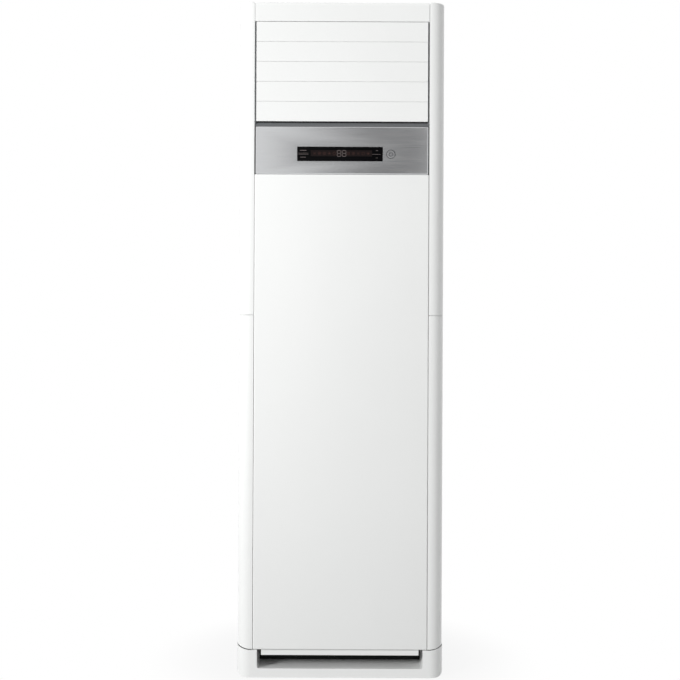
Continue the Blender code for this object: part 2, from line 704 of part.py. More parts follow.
def make_controls():
    panel = pan("control_panel", CONTROL_BOTTOM, CONTROL_TOP, BRUSHED_PANEL)
    left, right = WINDOW_X - WINDOW_WIDTH / 2, WINDOW_X + WINDOW_WIDTH / 2
    low = CONTROL_BOTTOM + WINDOW_LIFT
    high = low + WINDOW_HEIGHT
    middle = (low + high) / 2
    inside = FACE_Y + PANEL_WALL
    front = FACE_Y - CUT_MARGIN
    cut(panel, box("window_hole", (left, front, low), (right, inside + CUT_MARGIN, high)))
    ring_inner = BUTTON_RADIUS + FIT
    ring_outer = ring_inner + RING_WALL
    bore = [((BUTTON_X, front, middle), (BUTTON_X, inside + CUT_MARGIN, middle))]
    cut(panel, rods("button_hole", bore, ring_outer + FIT, 24))

    board_front = inside + BOARD_GAP
    board_low = (left - BOARD_MARGIN, low - BOARD_MARGIN)
    board_high = (BUTTON_X + BUTTON_RADIUS + BOARD_MARGIN, high + BOARD_MARGIN)
    inset = BOSS_RADIUS + 2 * FIT
    bosses = [
        ((x, FACE_Y + PANEL_WALL / 2, z), (x, board_front - FIT, z))
        for x in (board_low[0] + inset, board_high[0] - inset)
        for z in (board_low[1] + inset, board_high[1] - inset)
    ]
    fuse(panel, rods("board_bosses", bosses, BOSS_RADIUS, 8))

    window = box(
        "display_window", (left + FIT, FACE_Y, low + FIT),
        (right - FIT, FACE_Y + WINDOW_THICKNESS, high - FIT), BLACK_ACRYLIC,
    )
    lip_low = (left - WINDOW_LIP, inside + FIT, low - WINDOW_LIP)
    lip_high = (right + WINDOW_LIP, FACE_Y + WINDOW_THICKNESS, high + WINDOW_LIP)
    fuse(window, box("window_lip", lip_low, lip_high))
    plate(
        "display_board", [rectangle(board_low, board_high)], "Y",
        board_front, board_front + BOARD_THICKNESS, BOARD_GREEN,
    )

    centre = (BUTTON_X, middle)
    ring_back = inside + 2 * RING_WALL
    ring = [(ring_inner, FACE_Y - FIT), (ring_outer, FACE_Y - FIT)]
    ring += [(ring_outer, ring_back), (ring_inner, ring_back)]
    turned("button_ring", ring, centre, GREY_RING, 24)
    stem = BOSS_RADIUS
    cap_back = FACE_Y + BUTTON_DEPTH
    stem_end = board_front - BUTTON_TRAVEL - FIT
    button = [(0.0, FACE_Y), (BUTTON_RADIUS, FACE_Y), (BUTTON_RADIUS, cap_back)]
    button += [(stem, cap_back), (stem, stem_end), (0.0, stem_end)]
    turned("power_button", button, centre, GREY_RING, 24)


# Outlet frame, louvres and their drive

def louvre_height(index):
    """Height of a louvre's pivots, counted from the top."""
    return LOUVRE_TOP - (index + 0.5) * LOUVRE_PITCH


def vane_x(index):
    return (index - (VANE_COUNT - 1) / 2) * VANE_PITCH


def make_outlet_frame():
    outer = rectangle((-FRAME_OUT, FRAME_BOTTOM), (FRAME_OUT, FRAME_TOP))
    inner = rectangle((-FRAME_IN, FRAME_FLOOR), (FRAME_IN, FRAME_CEILING))
    front = FRONT + FRAME_SETBACK
    frame = plate("outlet_frame", [outer, inner], "Y", front, FRAME_BACK, WHITE_ABS)
    reach = FRAME_OUT + CUT_MARGIN
    bores = [
        ((-reach, LOUVRE_PIVOT_Y, louvre_height(i)), (reach, LOUVRE_PIVOT_Y, louvre_height(i)))
        for i in range(LOUVRE_COUNT)
    ]
    cut(frame, rods("louvre_bores", bores, LOUVRE_PIN_RADIUS + PIVOT_CLEARANCE))
    low, high = FRAME_BOTTOM - CUT_MARGIN, FRAME_TOP + CUT_MARGIN
    bores = [
        ((vane_x(i), VANE_PIVOT_Y, low), (vane_x(i), VANE_PIVOT_Y, high))
        for i in range(VANE_COUNT)
    ]
    cut(frame, rods("vane_bores", bores, VANE_PIN_RADIUS + PIVOT_CLEARANCE))


def slat_outline():
    """A slat's section about its pivot: a crowned face and a hollowed back that meet in blunt tips."""
    half = (LOUVRE_PITCH - LOUVRE_GAP) / 2
    face = LOUVRE_FRONT - LOUVRE_PIVOT_DEPTH
    tip_back = face + LOUVRE_CROWN + LOUVRE_TIP
    front, back = [], []
    for i in range(SLAT_STEPS + 1):
        share = 2 * i / SLAT_STEPS - 1
        front.append((face + LOUVRE_CROWN * share * share, share * half))
        back.append((LOUVRE_BACK - (LOUVRE_BACK - tip_back) * share * share, share * half))
    return front + back[::-1]


def make_louvres():
    half = FRAME_IN - LOUVRE_END_GAP
    slat = plate("louvre_1", [slat_outline()], "X", -half, half, WHITE_ABS)
    start = half - LOUVRE_PIN_REACH
    pins = [
        ((-FRAME_OUT, 0.0, 0.0), (-start, 0.0, 0.0)),
        ((start, 0.0, 0.0), (CRANK_X + LINK_THICKNESS, 0.0, 0.0)),
    ]
    fuse(slat, rods("louvre_pins", pins, LOUVRE_PIN_RADIUS))
    settle(slat)
    slat.location = (0.0, LOUVRE_PIVOT_Y, louvre_height(0))
    for i in range(1, LOUVRE_COUNT):
        place = (0.0, LOUVRE_PIVOT_Y, louvre_height(i))
        copy_of(slat.data, f"louvre_{i + 1}", place)


def crank(name, low, pin_end):
    """A crank arm from low to a link's thickness above it, and a pin from its middle to pin_end."""
    tip = CRANK_PIN_RADIUS + CRANK_TIP_WALL
    outline = arc((0.0, 0.0), CRANK_HUB, 90, 270, 6) + arc((CRANK_RADIUS, 0.0), tip, -90, 90, 4)
    bore = circle((0.0, 0.0), LOUVRE_PIN_RADIUS + PIVOT_CLEARANCE, 10)
    arm = plate(name, [outline, bore], "X", low, low + LINK_THICKNESS, GREY_NYLON)
    middle = low + LINK_THICKNESS / 2
    ends = [((middle, CRANK_RADIUS, 0.0), (pin_end, CRANK_RADIUS, 0.0))]
    fuse(arm, rods(name + "_pin", ends, CRANK_PIN_RADIUS, 8))
    return settle(arm)


def make_louvre_linkage():
    first = crank("louvre_crank_1", CRANK_X, TIE_X + LINK_THICKNESS)
    first.location = (0.0, LOUVRE_PIVOT_Y, louvre_height(0))
    for i in range(1, LOUVRE_COUNT):
        copy_of(first.data, f"louvre_crank_{i + 1}", (0.0, LOUVRE_PIVOT_Y, louvre_height(i)))

    drive_y = LOUVRE_PIVOT_Y + DRIVE_SETBACK
    drive_z = (louvre_height(1) + louvre_height(2)) / 2
    drive = crank("drive_arm", DRIVE_X, TIE_X)
    drive.location = (0.0, drive_y, drive_z)

    pin_y = LOUVRE_PIVOT_Y + CRANK_RADIUS
    near, far = pin_y - TIE_HALF_WIDTH, pin_y + TIE_HALF_WIDTH
    tab = drive_y + CRANK_RADIUS + TIE_HALF_WIDTH
    foot = louvre_height(LOUVRE_COUNT - 1) - TIE_HALF_WIDTH
    head = louvre_height(0) + TIE_HALF_WIDTH
    outline = [
        (near, foot), (far, foot),
        (far, drive_z - TIE_HALF_WIDTH), (tab, drive_z - TIE_HALF_WIDTH),
        (tab, drive_z + TIE_HALF_WIDTH), (far, drive_z + TIE_HALF_WIDTH),
        (far, head), (near, head),
    ]
    radius = CRANK_PIN_RADIUS + PIVOT_CLEARANCE
    holes = [circle((pin_y, louvre_height(i)), radius, 8) for i in range(LOUVRE_COUNT)]
    holes.append(circle((drive_y + CRANK_RADIUS, drive_z), radius, 8))
    high = TIE_X + LINK_THICKNESS
    bar = plate("louvre_tie_bar", [outline] + holes, "X", TIE_X, high, GREY_NYLON)
    settle(bar, (TIE_X, pin_y, louvre_height(0)))

    body = [((STEPPER_X, drive_y, drive_z), (STEPPER_X + STEPPER_LENGTH, drive_y, drive_z))]
    motor = rods("louvre_motor", body, STEPPER_RADIUS, 20, ZINC_STEEL)
    shaft = [((DRIVE_X, drive_y, drive_z), (STEPPER_X + EAR_THICKNESS, drive_y, drive_z))]
    fuse(motor, rods("louvre_motor_shaft", shaft, LOUVRE_PIN_RADIUS))
    ear_half = POST_SPREAD + 2 * POST_RADIUS
    post_z = drive_z + STEPPER_EAR
    ear_low = (STEPPER_X - EAR_THICKNESS, drive_y - ear_half, drive_z)
    ear_high = (STEPPER_X + EAR_THICKNESS / 2, drive_y + ear_half, post_z + 2 * POST_RADIUS)
    fuse(motor, box("louvre_motor_ear", ear_low, ear_high))
    posts = [
        ((FRAME_OUT + FIT, drive_y + y, post_z), (STEPPER_X, drive_y + y, post_z))
        for y in (-POST_SPREAD, POST_SPREAD)
    ]
    fuse(motor, rods("louvre_motor_posts", posts, POST_RADIUS, 8))


def make_vanes():
    """The vanes turn about upright pins in the frame, and one bar under them joins their tails."""
    blade_top = FRAME_CEILING - VANE_HEADROOM - FRAME_FLOOR
    half = VANE_THICKNESS / 2
    first = box("vane_1", (-half, -VANE_LEAD, VANE_LIFT), (half, VANE_TRAIL, blade_top), WHITE_ABS)
    inside = VANE_PIN_RADIUS
    pins = [
        ((0.0, 0.0, -FRAME_WALL), (0.0, 0.0, VANE_LIFT + inside)),
        ((0.0, 0.0, blade_top - inside), (0.0, 0.0, FRAME_TOP - FRAME_FLOOR)),
    ]
    fuse(first, rods("vane_pins", pins, VANE_PIN_RADIUS))
    link = [((0.0, VANE_LINK_ARM, VANE_BAR_LIFT), (0.0, VANE_LINK_ARM, VANE_LIFT + inside))]
    fuse(first, rods("vane_link_pin", link, VANE_LINK_PIN_RADIUS, 8))
    settle(first)
    first.location = (vane_x(0), VANE_PIVOT_Y, FRAME_FLOOR)
    for i in range(1, VANE_COUNT):
        copy_of(first.data, f"vane_{i + 1}", (vane_x(i), VANE_PIVOT_Y, FRAME_FLOOR))

    link_y = VANE_PIVOT_Y + VANE_LINK_ARM
    end = vane_x(VANE_COUNT - 1) + VANE_BAR_HALF_WIDTH
    outline = rectangle((-end, link_y - VANE_BAR_HALF_WIDTH), (end, link_y + VANE_BAR_HALF_WIDTH))
    radius = VANE_LINK_PIN_RADIUS + PIVOT_CLEARANCE
    holes = [circle((vane_x(i), link_y), radius, 8) for i in range(VANE_COUNT)]
    low = FRAME_FLOOR + VANE_BAR_LIFT
    high = low + VANE_BAR_THICKNESS
    bar = plate("vane_tie_bar", [outline] + holes, "Z", low, high, GREY_NYLON)
    settle(bar, (vane_x(0), link_y, low))

    top = FRAME_BOTTOM - FIT
    place = (vane_x(0), VANE_PIVOT_Y)
    body = [((*place, top - STEPPER_LENGTH), (*place, top))]
    motor = rods("vane_motor", body, STEPPER_RADIUS, 20, ZINC_STEEL)
    ear = STEPPER_RADIUS + 2 * POST_RADIUS
    ear_low = (place[0] - ear, place[1] - POST_RADIUS, top - EAR_THICKNESS)
    ear_high = (place[0] + ear, place[1] + POST_RADIUS, top)
    fuse(motor, box("vane_motor_ear", ear_low, ear_high))


# Air duct, coil, tray, shelf and pipes

def comb(low, high, count, tooth, root, tip):
    """One edge of a comb from low to high. Its teeth stand from root to tip."""
    pitch = (high - low - tooth) / (count - 1)
    points = []
    for i in range(count):
        start = low + i * pitch
        end = high if i == count - 1 else start + tooth
        points += [(start, root), (start, tip), (end, tip), (end, root)]
    return points


def coil_lean():
    """The coil's lean, at which the top of its end plates rests on the rear wall of the duct."""
    run = DUCT_BACK - DUCT_WALL - FIT - (DUCT_Y + COIL_SETBACK)
    length = COIL_LENGTH + END_PLATE_MARGIN
    return math.asin(run / math.hypot(length, PLATE_HALF)) - math.atan2(PLATE_HALF, length)


def coil_foot():
    """The middle of the coil's lower edge. Its end plates stand on the floor of the drip tray."""
    lean = coil_lean()
    drop = PLATE_HALF * math.sin(lean) + END_PLATE_MARGIN * math.cos(lean)
    return (0.0, DUCT_Y + COIL_SETBACK, TRAY_BOTTOM + TRAY_WALL + FIT + drop)


def on_coil(along):
    """A place on the coil's middle plane, by its distance from the lower edge."""
    _, y, z = coil_foot()
    return (y + along * math.sin(coil_lean()), z + along * math.cos(coil_lean()))


def lean_back(obj):
    obj.location = coil_foot()
    obj.rotation_euler = (-coil_lean(), 0.0, 0.0)


def make_coil():
    left = -DUCT_INNER + FIT + TRAY_WALL + FIT
    right = DUCT_INNER - HEADER_ROOM
    low, high = left + SHEET + FIT, right - SHEET - FIT
    front = comb(low, high, FIN_COUNT, FIN_THICKNESS, -COIL_SPINE, -COIL_HALF_THICKNESS)
    back = comb(low, high, FIN_COUNT, FIN_THICKNESS, COIL_SPINE, COIL_HALF_THICKNESS)
    outline = front + back[::-1]
    lean_back(plate("coil_fins", [outline], "Z", 0.0, COIL_LENGTH, ALUMINIUM))
    end = rectangle(
        (-PLATE_HALF, -END_PLATE_MARGIN), (PLATE_HALF, COIL_LENGTH + END_PLATE_MARGIN)
    )
    lean_back(plate("coil_end_plate_left", [end], "X", left, left + SHEET, ZINC_STEEL))
    lean_back(plate("coil_end_plate_right", [end], "X", right - SHEET, right, ZINC_STEEL))

    x = right + HEADER_STUB
    ends = [((x, 0.0, HEADER_RADIUS), (x, 0.0, COIL_LENGTH - HEADER_RADIUS))]
    header = rods("coil_header", ends, HEADER_RADIUS, 12, COPPER)
    lean_back(header)
    stubs = []
    for i in range(HEADER_STUBS):
        y, z = on_coil(COIL_LENGTH * (i + 0.5) / HEADER_STUBS)
        stubs.append(((right + FIT, y, z), (x, y, z)))
    fuse(header, rods("header_stubs", stubs, HEADER_STUB_RADIUS, 8))


def make_drip_tray():
    front = DUCT_Y + DUCT_WALL + FIT
    half = DUCT_INNER - FIT
    bm = bmesh.new()
    add_box(bm, (-half, front, TRAY_BOTTOM), (half, front + TRAY_DEPTH, TRAY_BOTTOM + TRAY_HEIGHT))
    bm.normal_update()
    lid = [face for face in bm.faces if face.normal.z > 0.5]
    bmesh.ops.delete(bm, geom=lid, context="FACES_ONLY")
    tray = from_bmesh("drip_tray", bm, WHITE_ABS)
    thicken(tray, TRAY_WALL)


def pipe_routes():
    """Each pipe's name, radius, heights and depth, from the coil's header to the rear panel."""
    routes = []
    pipes = (("gas_pipe", GAS_PIPE_RADIUS, -1), ("liquid_pipe", LIQUID_PIPE_RADIUS, 1))
    for name, radius, side in pipes:
        along = PIPE_TAP + (PIPE_SPACING if side > 0 else -PIPE_SPACING)
        y, z = on_coil(along)
        exit_z = PIPE_EXIT_HEIGHT + side * PIPE_SPACING / 2
        start = (DUCT_INNER - HEADER_ROOM + HEADER_STUB + HEADER_RADIUS + FIT, y, z)
        points = [start, (PIPE_X, y, z), (PIPE_X, y, exit_z), (PIPE_EXIT_X, y, exit_z)]
        points.append((PIPE_EXIT_X, REAR_INNER, exit_z))
        routes.append((name, radius, points))
    return routes


def filleted(points, radius, steps):
    """The same line with each corner rounded."""
    points = [Vector(point) for point in points]
    line = [points[0]]
    for before, corner, after in zip(points, points[1:], points[2:]):
        back, ahead = (before - corner).normalized(), (after - corner).normalized()
        half_angle = back.angle(ahead) / 2
        reach = radius / math.tan(half_angle)
        centre = corner + (back + ahead).normalized() * (radius / math.sin(half_angle))
        start = (corner + back * reach - centre).normalized()
        end = (corner + ahead * reach - centre).normalized()
        for i in range(steps + 1):
            line.append(centre + start.slerp(end, i / steps) * radius)
    return line + [points[-1]]


def make_pipes():
    for name, radius, points in pipe_routes():
        curve = bpy.data.curves.new(name, "CURVE")
        curve.dimensions = "3D"
        curve.bevel_depth = radius
        curve.bevel_resolution = 2
        curve.use_fill_caps = True
        line = filleted(points, PIPE_BEND, 4)
        spline = curve.splines.new("POLY")
        spline.points.add(len(line) - 1)
        for point, place in zip(spline.points, line):
            point.co = (*place, 1.0)
        finish(bpy.data.objects.new(name, curve), COPPER)


def make_duct():
    top = HEIGHT - LID_THICKNESS - DUCT_TOP_GAP
    low = (-DUCT_HALF_WIDTH, DUCT_Y, SHELF_TOP + FIT)
    duct = box("air_duct", low, (DUCT_HALF_WIDTH, DUCT_BACK, top), FOAM)
    inner_low = (-DUCT_INNER, DUCT_Y + DUCT_WALL, SHELF_TOP - CUT_MARGIN)
    inner_high = (DUCT_INNER, DUCT_BACK - DUCT_WALL, top - DUCT_WALL)
    cut(duct, box("duct_bore", inner_low, inner_high))
    mouth_low = (-DUCT_INNER, DUCT_Y - CUT_MARGIN, FRAME_FLOOR)
    mouth_high = (DUCT_INNER, DUCT_Y + DUCT_WALL + CUT_MARGIN, FRAME_CEILING)
    cut(duct, box("duct_mouth", mouth_low, mouth_high))
    for name, radius, points in pipe_routes():
        _, y, z = points[0]
        ends = [((DUCT_INNER - DUCT_WALL / 2, y, z), (DUCT_HALF_WIDTH + CUT_MARGIN, y, z))]
        cut(duct, rods(name + "_duct_hole", ends, radius + PIPE_CLEARANCE, 12))


def make_shelf():
    half = SIDE - COLUMN_WALL - FIT
    back = REAR_INNER - FIT
    right = [(half, FRONT + SHELF_FRONT), (half, back - REAR_RADIUS), (half - REAR_RADIUS, back)]
    neck = rectangle(
        (TONGUE_X, SCROLL_Y + SCROLL_WALL), (SCROLL_END_RADIUS, SCROLL_BACK - SCROLL_WALL)
    )
    outlines = [both_sides(right), neck]
    for _, radius, points in pipe_routes():
        outlines.append(circle(points[1][:2], radius + PIPE_CLEARANCE, 12))
    plate("mid_shelf", outlines, "Z", SHELF_BOTTOM, SHELF_TOP, ZINC_STEEL)


# Blower

def scroll_outline(grow, top):
    """The spiral round the wheel and its outlet neck, seen from the front."""
    start_radius = SCROLL_START_RADIUS + grow
    neck = TONGUE_X - grow
    start = math.acos(neck / start_radius)
    points = []
    for i in range(SCROLL_STEPS + 1):
        share = i / SCROLL_STEPS
        angle = start + (2 * math.pi - start) * share
        radius = start_radius + (SCROLL_END_RADIUS - SCROLL_START_RADIUS) * share
        points.append((radius * math.cos(angle), FAN_HEIGHT + radius * math.sin(angle)))
    return points + [(SCROLL_END_RADIUS + grow, top), (neck, top)]


def make_scroll():
    top = SHELF_BOTTOM - FIT
    outer = scroll_outline(SCROLL_WALL, top)
    inner = scroll_outline(0.0, top + CUT_MARGIN)
    scroll = plate("scroll_housing", [outer], "Y", SCROLL_Y, SCROLL_BACK, ZINC_STEEL)
    inner_front, inner_back = SCROLL_Y + SCROLL_WALL, SCROLL_BACK - SCROLL_WALL
    cut(scroll, plate("scroll_bore", [inner], "Y", inner_front, inner_back))
    front, back = SCROLL_Y - CUT_MARGIN, SCROLL_BACK + CUT_MARGIN
    middle = (SCROLL_Y + SCROLL_BACK) / 2
    inlet = [((0.0, front, FAN_HEIGHT), (0.0, middle, FAN_HEIGHT))]
    cut(scroll, rods("scroll_inlet", inlet, INLET_RADIUS, 32))
    shaft = [((0.0, middle, FAN_HEIGHT), (0.0, back, FAN_HEIGHT))]
    cut(scroll, rods("scroll_shaft_hole", shaft, 2 * SHAFT_RADIUS, 16))

    flange = INLET_RADIUS + INLET_FLANGE
    seat = SCROLL_Y - FIT
    throat = INLET_RADIUS - 2 * FIT
    tip = throat - INLET_TAPER
    profile = [(flange, seat - SHEET), (flange, seat), (throat, seat), (tip, seat + INLET_DEPTH)]
    profile += [(tip - SHEET, seat + INLET_DEPTH), (throat - SHEET, seat - SHEET)]
    turned("inlet_ring", profile, (0.0, FAN_HEIGHT), BLACK_PLASTIC)


def blade_outline(base_angle):
    """One forward-curved blade, seen from the front."""
    inner, outer = WHEEL_RADIUS - BLADE_DEPTH, WHEEL_RADIUS - BLADE_THICKNESS / 2
    lead, trail = [], []
    for i in range(BLADE_STEPS + 1):
        share = i / BLADE_STEPS
        radius = inner + (outer - inner) * share
        angle = base_angle + math.radians(BLADE_SWEEP) * share * share
        half = BLADE_THICKNESS / 2 / radius
        for side, points in ((half, lead), (-half, trail)):
            x = radius * math.cos(angle + side)
            points.append((x, FAN_HEIGHT + radius * math.sin(angle + side)))
    return lead + trail[::-1]


def make_fan():
    axis = (0.0, FAN_HEIGHT)
    front = SCROLL_Y + WHEEL_FRONT_GAP
    back = SCROLL_BACK - WHEEL_BACK_GAP
    disc = back - WHEEL_DISC
    hub_front = back - HUB_LENGTH
    bore = SHAFT_RADIUS + FIT
    profile = [(bore, back), (WHEEL_RADIUS, back), (WHEEL_RADIUS, disc), (HUB_RADIUS, disc)]
    profile += [(HUB_RADIUS, hub_front), (bore, hub_front)]
    wheel = turned("fan_wheel", profile, axis, GREY_NYLON)
    outlines = [blade_outline(2 * math.pi * i / BLADE_COUNT) for i in range(BLADE_COUNT)]
    blade_front, blade_back = front + WHEEL_DISC / 2, back - WHEEL_DISC / 2
    fuse(wheel, plate("fan_blades", outlines, "Y", blade_front, blade_back))
    inner = WHEEL_RADIUS - WHEEL_RING
    ring = [(WHEEL_RADIUS, front), (WHEEL_RADIUS, front + WHEEL_DISC)]
    ring += [(inner, front + WHEEL_DISC), (inner, front)]
    fuse(wheel, turned("fan_ring", ring, axis))

    nut_back = hub_front - FIT
    nut_front = nut_back - NUT_THICKNESS
    nut = [circle(axis, NUT_RADIUS, 6), circle(axis, bore, 12)]
    plate("fan_nut", nut, "Y", nut_front, nut_back, ZINC_STEEL)

    seat = SCROLL_BACK + FIT
    shaft_front, shaft_back = nut_front - SHAFT_RADIUS, seat + MOTOR_LENGTH / 2
    ends = [((0.0, shaft_front, FAN_HEIGHT), (0.0, shaft_back, FAN_HEIGHT))]
    settle(rods("fan_shaft", ends, SHAFT_RADIUS, 12, ZINC_STEEL), (0.0, seat, FAN_HEIGHT))

    end = seat + MOTOR_LENGTH
    socket, socket_end = SHAFT_RADIUS + PIVOT_CLEARANCE, shaft_back + FIT
    flange = seat + MOTOR_FLANGE_THICKNESS
    edge = MOTOR_FLANGE_THICKNESS * 3
    profile = [(0.0, socket_end), (socket, socket_end), (socket, seat), (MOTOR_FLANGE, seat)]
    profile += [(MOTOR_FLANGE, flange), (MOTOR_RADIUS, flange), (MOTOR_RADIUS, end - edge)]
    profile += [(MOTOR_RADIUS - edge, end), (0.0, end)]
    turned("fan_motor", profile, axis, ZINC_STEEL)


# Side intakes

def ladder(low, high, rim_width, rows, share):
    """A frame with a column of windows between slats, which take a share of each row."""
    outlines = [rectangle(low, high)]
    bottom = low[1] + rim_width
    pitch = (high[1] - rim_width - bottom) / rows
    gap = pitch * (1 - share)
    for i in range(rows):
        start = bottom + i * pitch + (pitch - gap) / 2
        outlines.append(rectangle((low[0] + rim_width, start), (high[0] - rim_width, start + gap)))
    return outlines


def make_intakes():
    low = (FRONT + INTAKE_FRONT + GRILLE_GAP, INTAKE_BOTTOM + GRILLE_GAP)
    rear = FRONT + INTAKE_FRONT + INTAKE_WIDTH - GRILLE_HINGE_GAP
    high = (rear, INTAKE_BOTTOM + INTAKE_HEIGHT - GRILLE_GAP)
    inside = SIDE - GRILLE_THICKNESS
    outlines = ladder(low, high, GRILLE_RIM, GRILLE_SLATS, GRILLE_SLAT_SHARE)
    grille = plate("intake_grille_right", outlines, "X", inside, SIDE, WHITE_ABS)
    hinge = (SIDE - GRILLE_THICKNESS / 2, rear - GRILLE_HINGE_INSET, INTAKE_BOTTOM)
    mirror_of(settle(grille, hinge), "intake_grille_left")
    low = (low[0] + FILTER_MARGIN, low[1] + FILTER_MARGIN)
    high = (rear - FILTER_HINGE_MARGIN, high[1] - FILTER_MARGIN)
    outlines = ladder(low, high, FILTER_RIM, FILTER_ROWS, FILTER_RIB_SHARE)
    back = inside - FIT
    cassette = plate("filter_right", outlines, "X", back - FILTER_THICKNESS, back, FILTER_BLUE)
    mirror_of(settle(cassette, hinge), "filter_left")


# Electrical box

def make_electrics():
    low_x = BOX_INSET - SIDE
    high_x = low_x + BOX_WIDTH
    back = REAR_INNER - FIT
    front = back - BOX_DEPTH
    top = BOX_BOTTOM + BOX_HEIGHT
    bm = bmesh.new()
    add_box(bm, (low_x, front, BOX_BOTTOM), (high_x, back, top))
    bm.normal_update()
    open_face = [face for face in bm.faces if face.normal.y < -0.5]
    bmesh.ops.delete(bm, geom=open_face, context="FACES_ONLY")
    case = from_bmesh("electrical_box", bm, ZINC_STEEL)
    thicken(case, SHEET)
    cover_low, cover_high = (low_x, front - FIT - SHEET, BOX_BOTTOM), (high_x, front - FIT, top)
    box("electrical_cover", cover_low, cover_high, ZINC_STEEL)
    start = low_x + TERMINAL_MARGIN
    seat = back - SHEET - FIT
    tip, root = seat - TERMINAL_DEPTH, seat - TERMINAL_DEPTH / 2
    teeth = comb(start, start + TERMINAL_WIDTH, TERMINAL_WALLS, TERMINAL_WALL, root, tip)
    outline = teeth + [(start + TERMINAL_WIDTH, seat), (start, seat)]
    low = BOX_BOTTOM + TERMINAL_MARGIN
    plate("terminal_block", [outline], "Z", low, low + TERMINAL_HEIGHT, BLACK_PLASTIC)


def main():
    make_base()
    make_lower_columns()
    make_upper_columns()
    make_rear_panels()
    make_top()
    make_wall_bracket()
    make_front_panel()
    make_controls()
    make_outlet_frame()
    make_louvres()
    make_louvre_linkage()
    make_vanes()
    make_coil()
    make_drip_tray()
    make_pipes()
    make_duct()
    make_shelf()
    make_scroll()
    make_fan()
    make_intakes()
    make_electrics()
    for obj in PARTS.objects:
        if obj.type == "MESH":
            obj.data.shade_smooth()
            obj.data.set_sharp_from_angle(angle=math.radians(30))


main()
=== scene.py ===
# Looks of a floor-standing column air conditioner, indoor unit. Metres, +Z up, front towards -Y.
import json
import math

import bmesh
import bpy
from mathutils import Matrix, Vector


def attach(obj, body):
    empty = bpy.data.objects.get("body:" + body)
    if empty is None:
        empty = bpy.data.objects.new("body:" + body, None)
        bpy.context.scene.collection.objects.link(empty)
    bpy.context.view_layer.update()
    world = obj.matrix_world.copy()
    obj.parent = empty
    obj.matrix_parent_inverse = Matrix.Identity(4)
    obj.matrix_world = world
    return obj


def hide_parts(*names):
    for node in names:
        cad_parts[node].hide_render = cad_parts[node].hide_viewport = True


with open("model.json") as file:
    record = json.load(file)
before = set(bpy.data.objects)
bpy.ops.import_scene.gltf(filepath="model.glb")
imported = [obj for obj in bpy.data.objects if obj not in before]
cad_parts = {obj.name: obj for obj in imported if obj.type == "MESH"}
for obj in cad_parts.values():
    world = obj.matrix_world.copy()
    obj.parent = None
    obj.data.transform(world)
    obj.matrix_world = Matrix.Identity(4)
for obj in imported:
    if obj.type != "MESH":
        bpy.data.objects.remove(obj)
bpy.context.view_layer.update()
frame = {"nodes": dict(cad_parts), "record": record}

record, nodes = frame["record"], frame["nodes"]
bodyOf = {node: body for body, held in record["behaviour"]["bodies"].items() for node in held}
slotOf = {part["node"]: part["material_slot"] for part in record["subparts"]}


# Shading

def toLinear(hexColour):
    channels = [int(hexColour[i:i + 2], 16) / 255 for i in (0, 2, 4)]
    return tuple(c / 12.92 if c <= 0.04045 else ((c + 0.055) / 1.055) ** 2.4 for c in channels) + (1.0,)


def addNode(tree, kind, sockets=None, to=None, **settings):
    node = tree.nodes.new(kind)
    for name, value in settings.items():
        setattr(node, name, value)
    for key, value in (sockets or {}).items():
        if isinstance(value, bpy.types.NodeSocket):
            tree.links.new(value, node.inputs[key])
        else:
            node.inputs[key].default_value = value
    if to:
        tree.links.new(next(item for item in node.outputs if item.enabled), to)
    return node


def startMaterial(name, **sockets):
    # a Principled surface, and the object's own coordinates in millimetres for its patterns
    material = bpy.data.materials.new(name)
    material.use_nodes = True
    tree = material.node_tree
    shader = tree.nodes["Principled BSDF"]
    for key, value in sockets.items():
        shader.inputs[key.replace("_", " ")].default_value = value
    spot = addNode(tree, "ShaderNodeTexCoord").outputs["Object"]
    millimetres = addNode(tree, "ShaderNodeVectorMath", {0: spot, 1: (1000, 1000, 1000)}, operation="MULTIPLY")
    return material, tree, shader, millimetres.outputs[0]


def spread(tree, shader, pattern, colours=None, rough=None, relief=None, span=(0.3, 0.7)):
    # lets one pattern drive the colour, the roughness and the height of a surface
    share = addNode(tree, "ShaderNodeMapRange", {0: pattern, 1: span[0], 2: span[1]}).outputs[0]
    if colours:
        addNode(tree, "ShaderNodeMix", {0: share, 6: toLinear(colours[0]), 7: toLinear(colours[1])},
                to=shader.inputs["Base Color"], data_type="RGBA")
    if rough:
        addNode(tree, "ShaderNodeMapRange", {0: share, 3: rough[0], 4: rough[1]}, to=shader.inputs["Roughness"])
    if relief:
        addNode(tree, "ShaderNodeBump", {"Strength": relief[0], "Distance": relief[1], "Height": pattern},
                to=shader.inputs["Normal"])


def patterned(name, texture, sizeMm, *looks, detail=0.0, output=0, span=(0.3, 0.7), settings=(), **sockets):
    # a finish whose one pattern has a real size in millimetres
    material, tree, shader, mm = startMaterial(name, **sockets)
    pattern = addNode(tree, "ShaderNodeTex" + texture, {"Vector": mm, "Scale": 1 / sizeMm, "Detail": detail},
                      **dict(settings))
    spread(tree, shader, pattern.outputs[output], *looks, span=span)
    return material


print("materials")

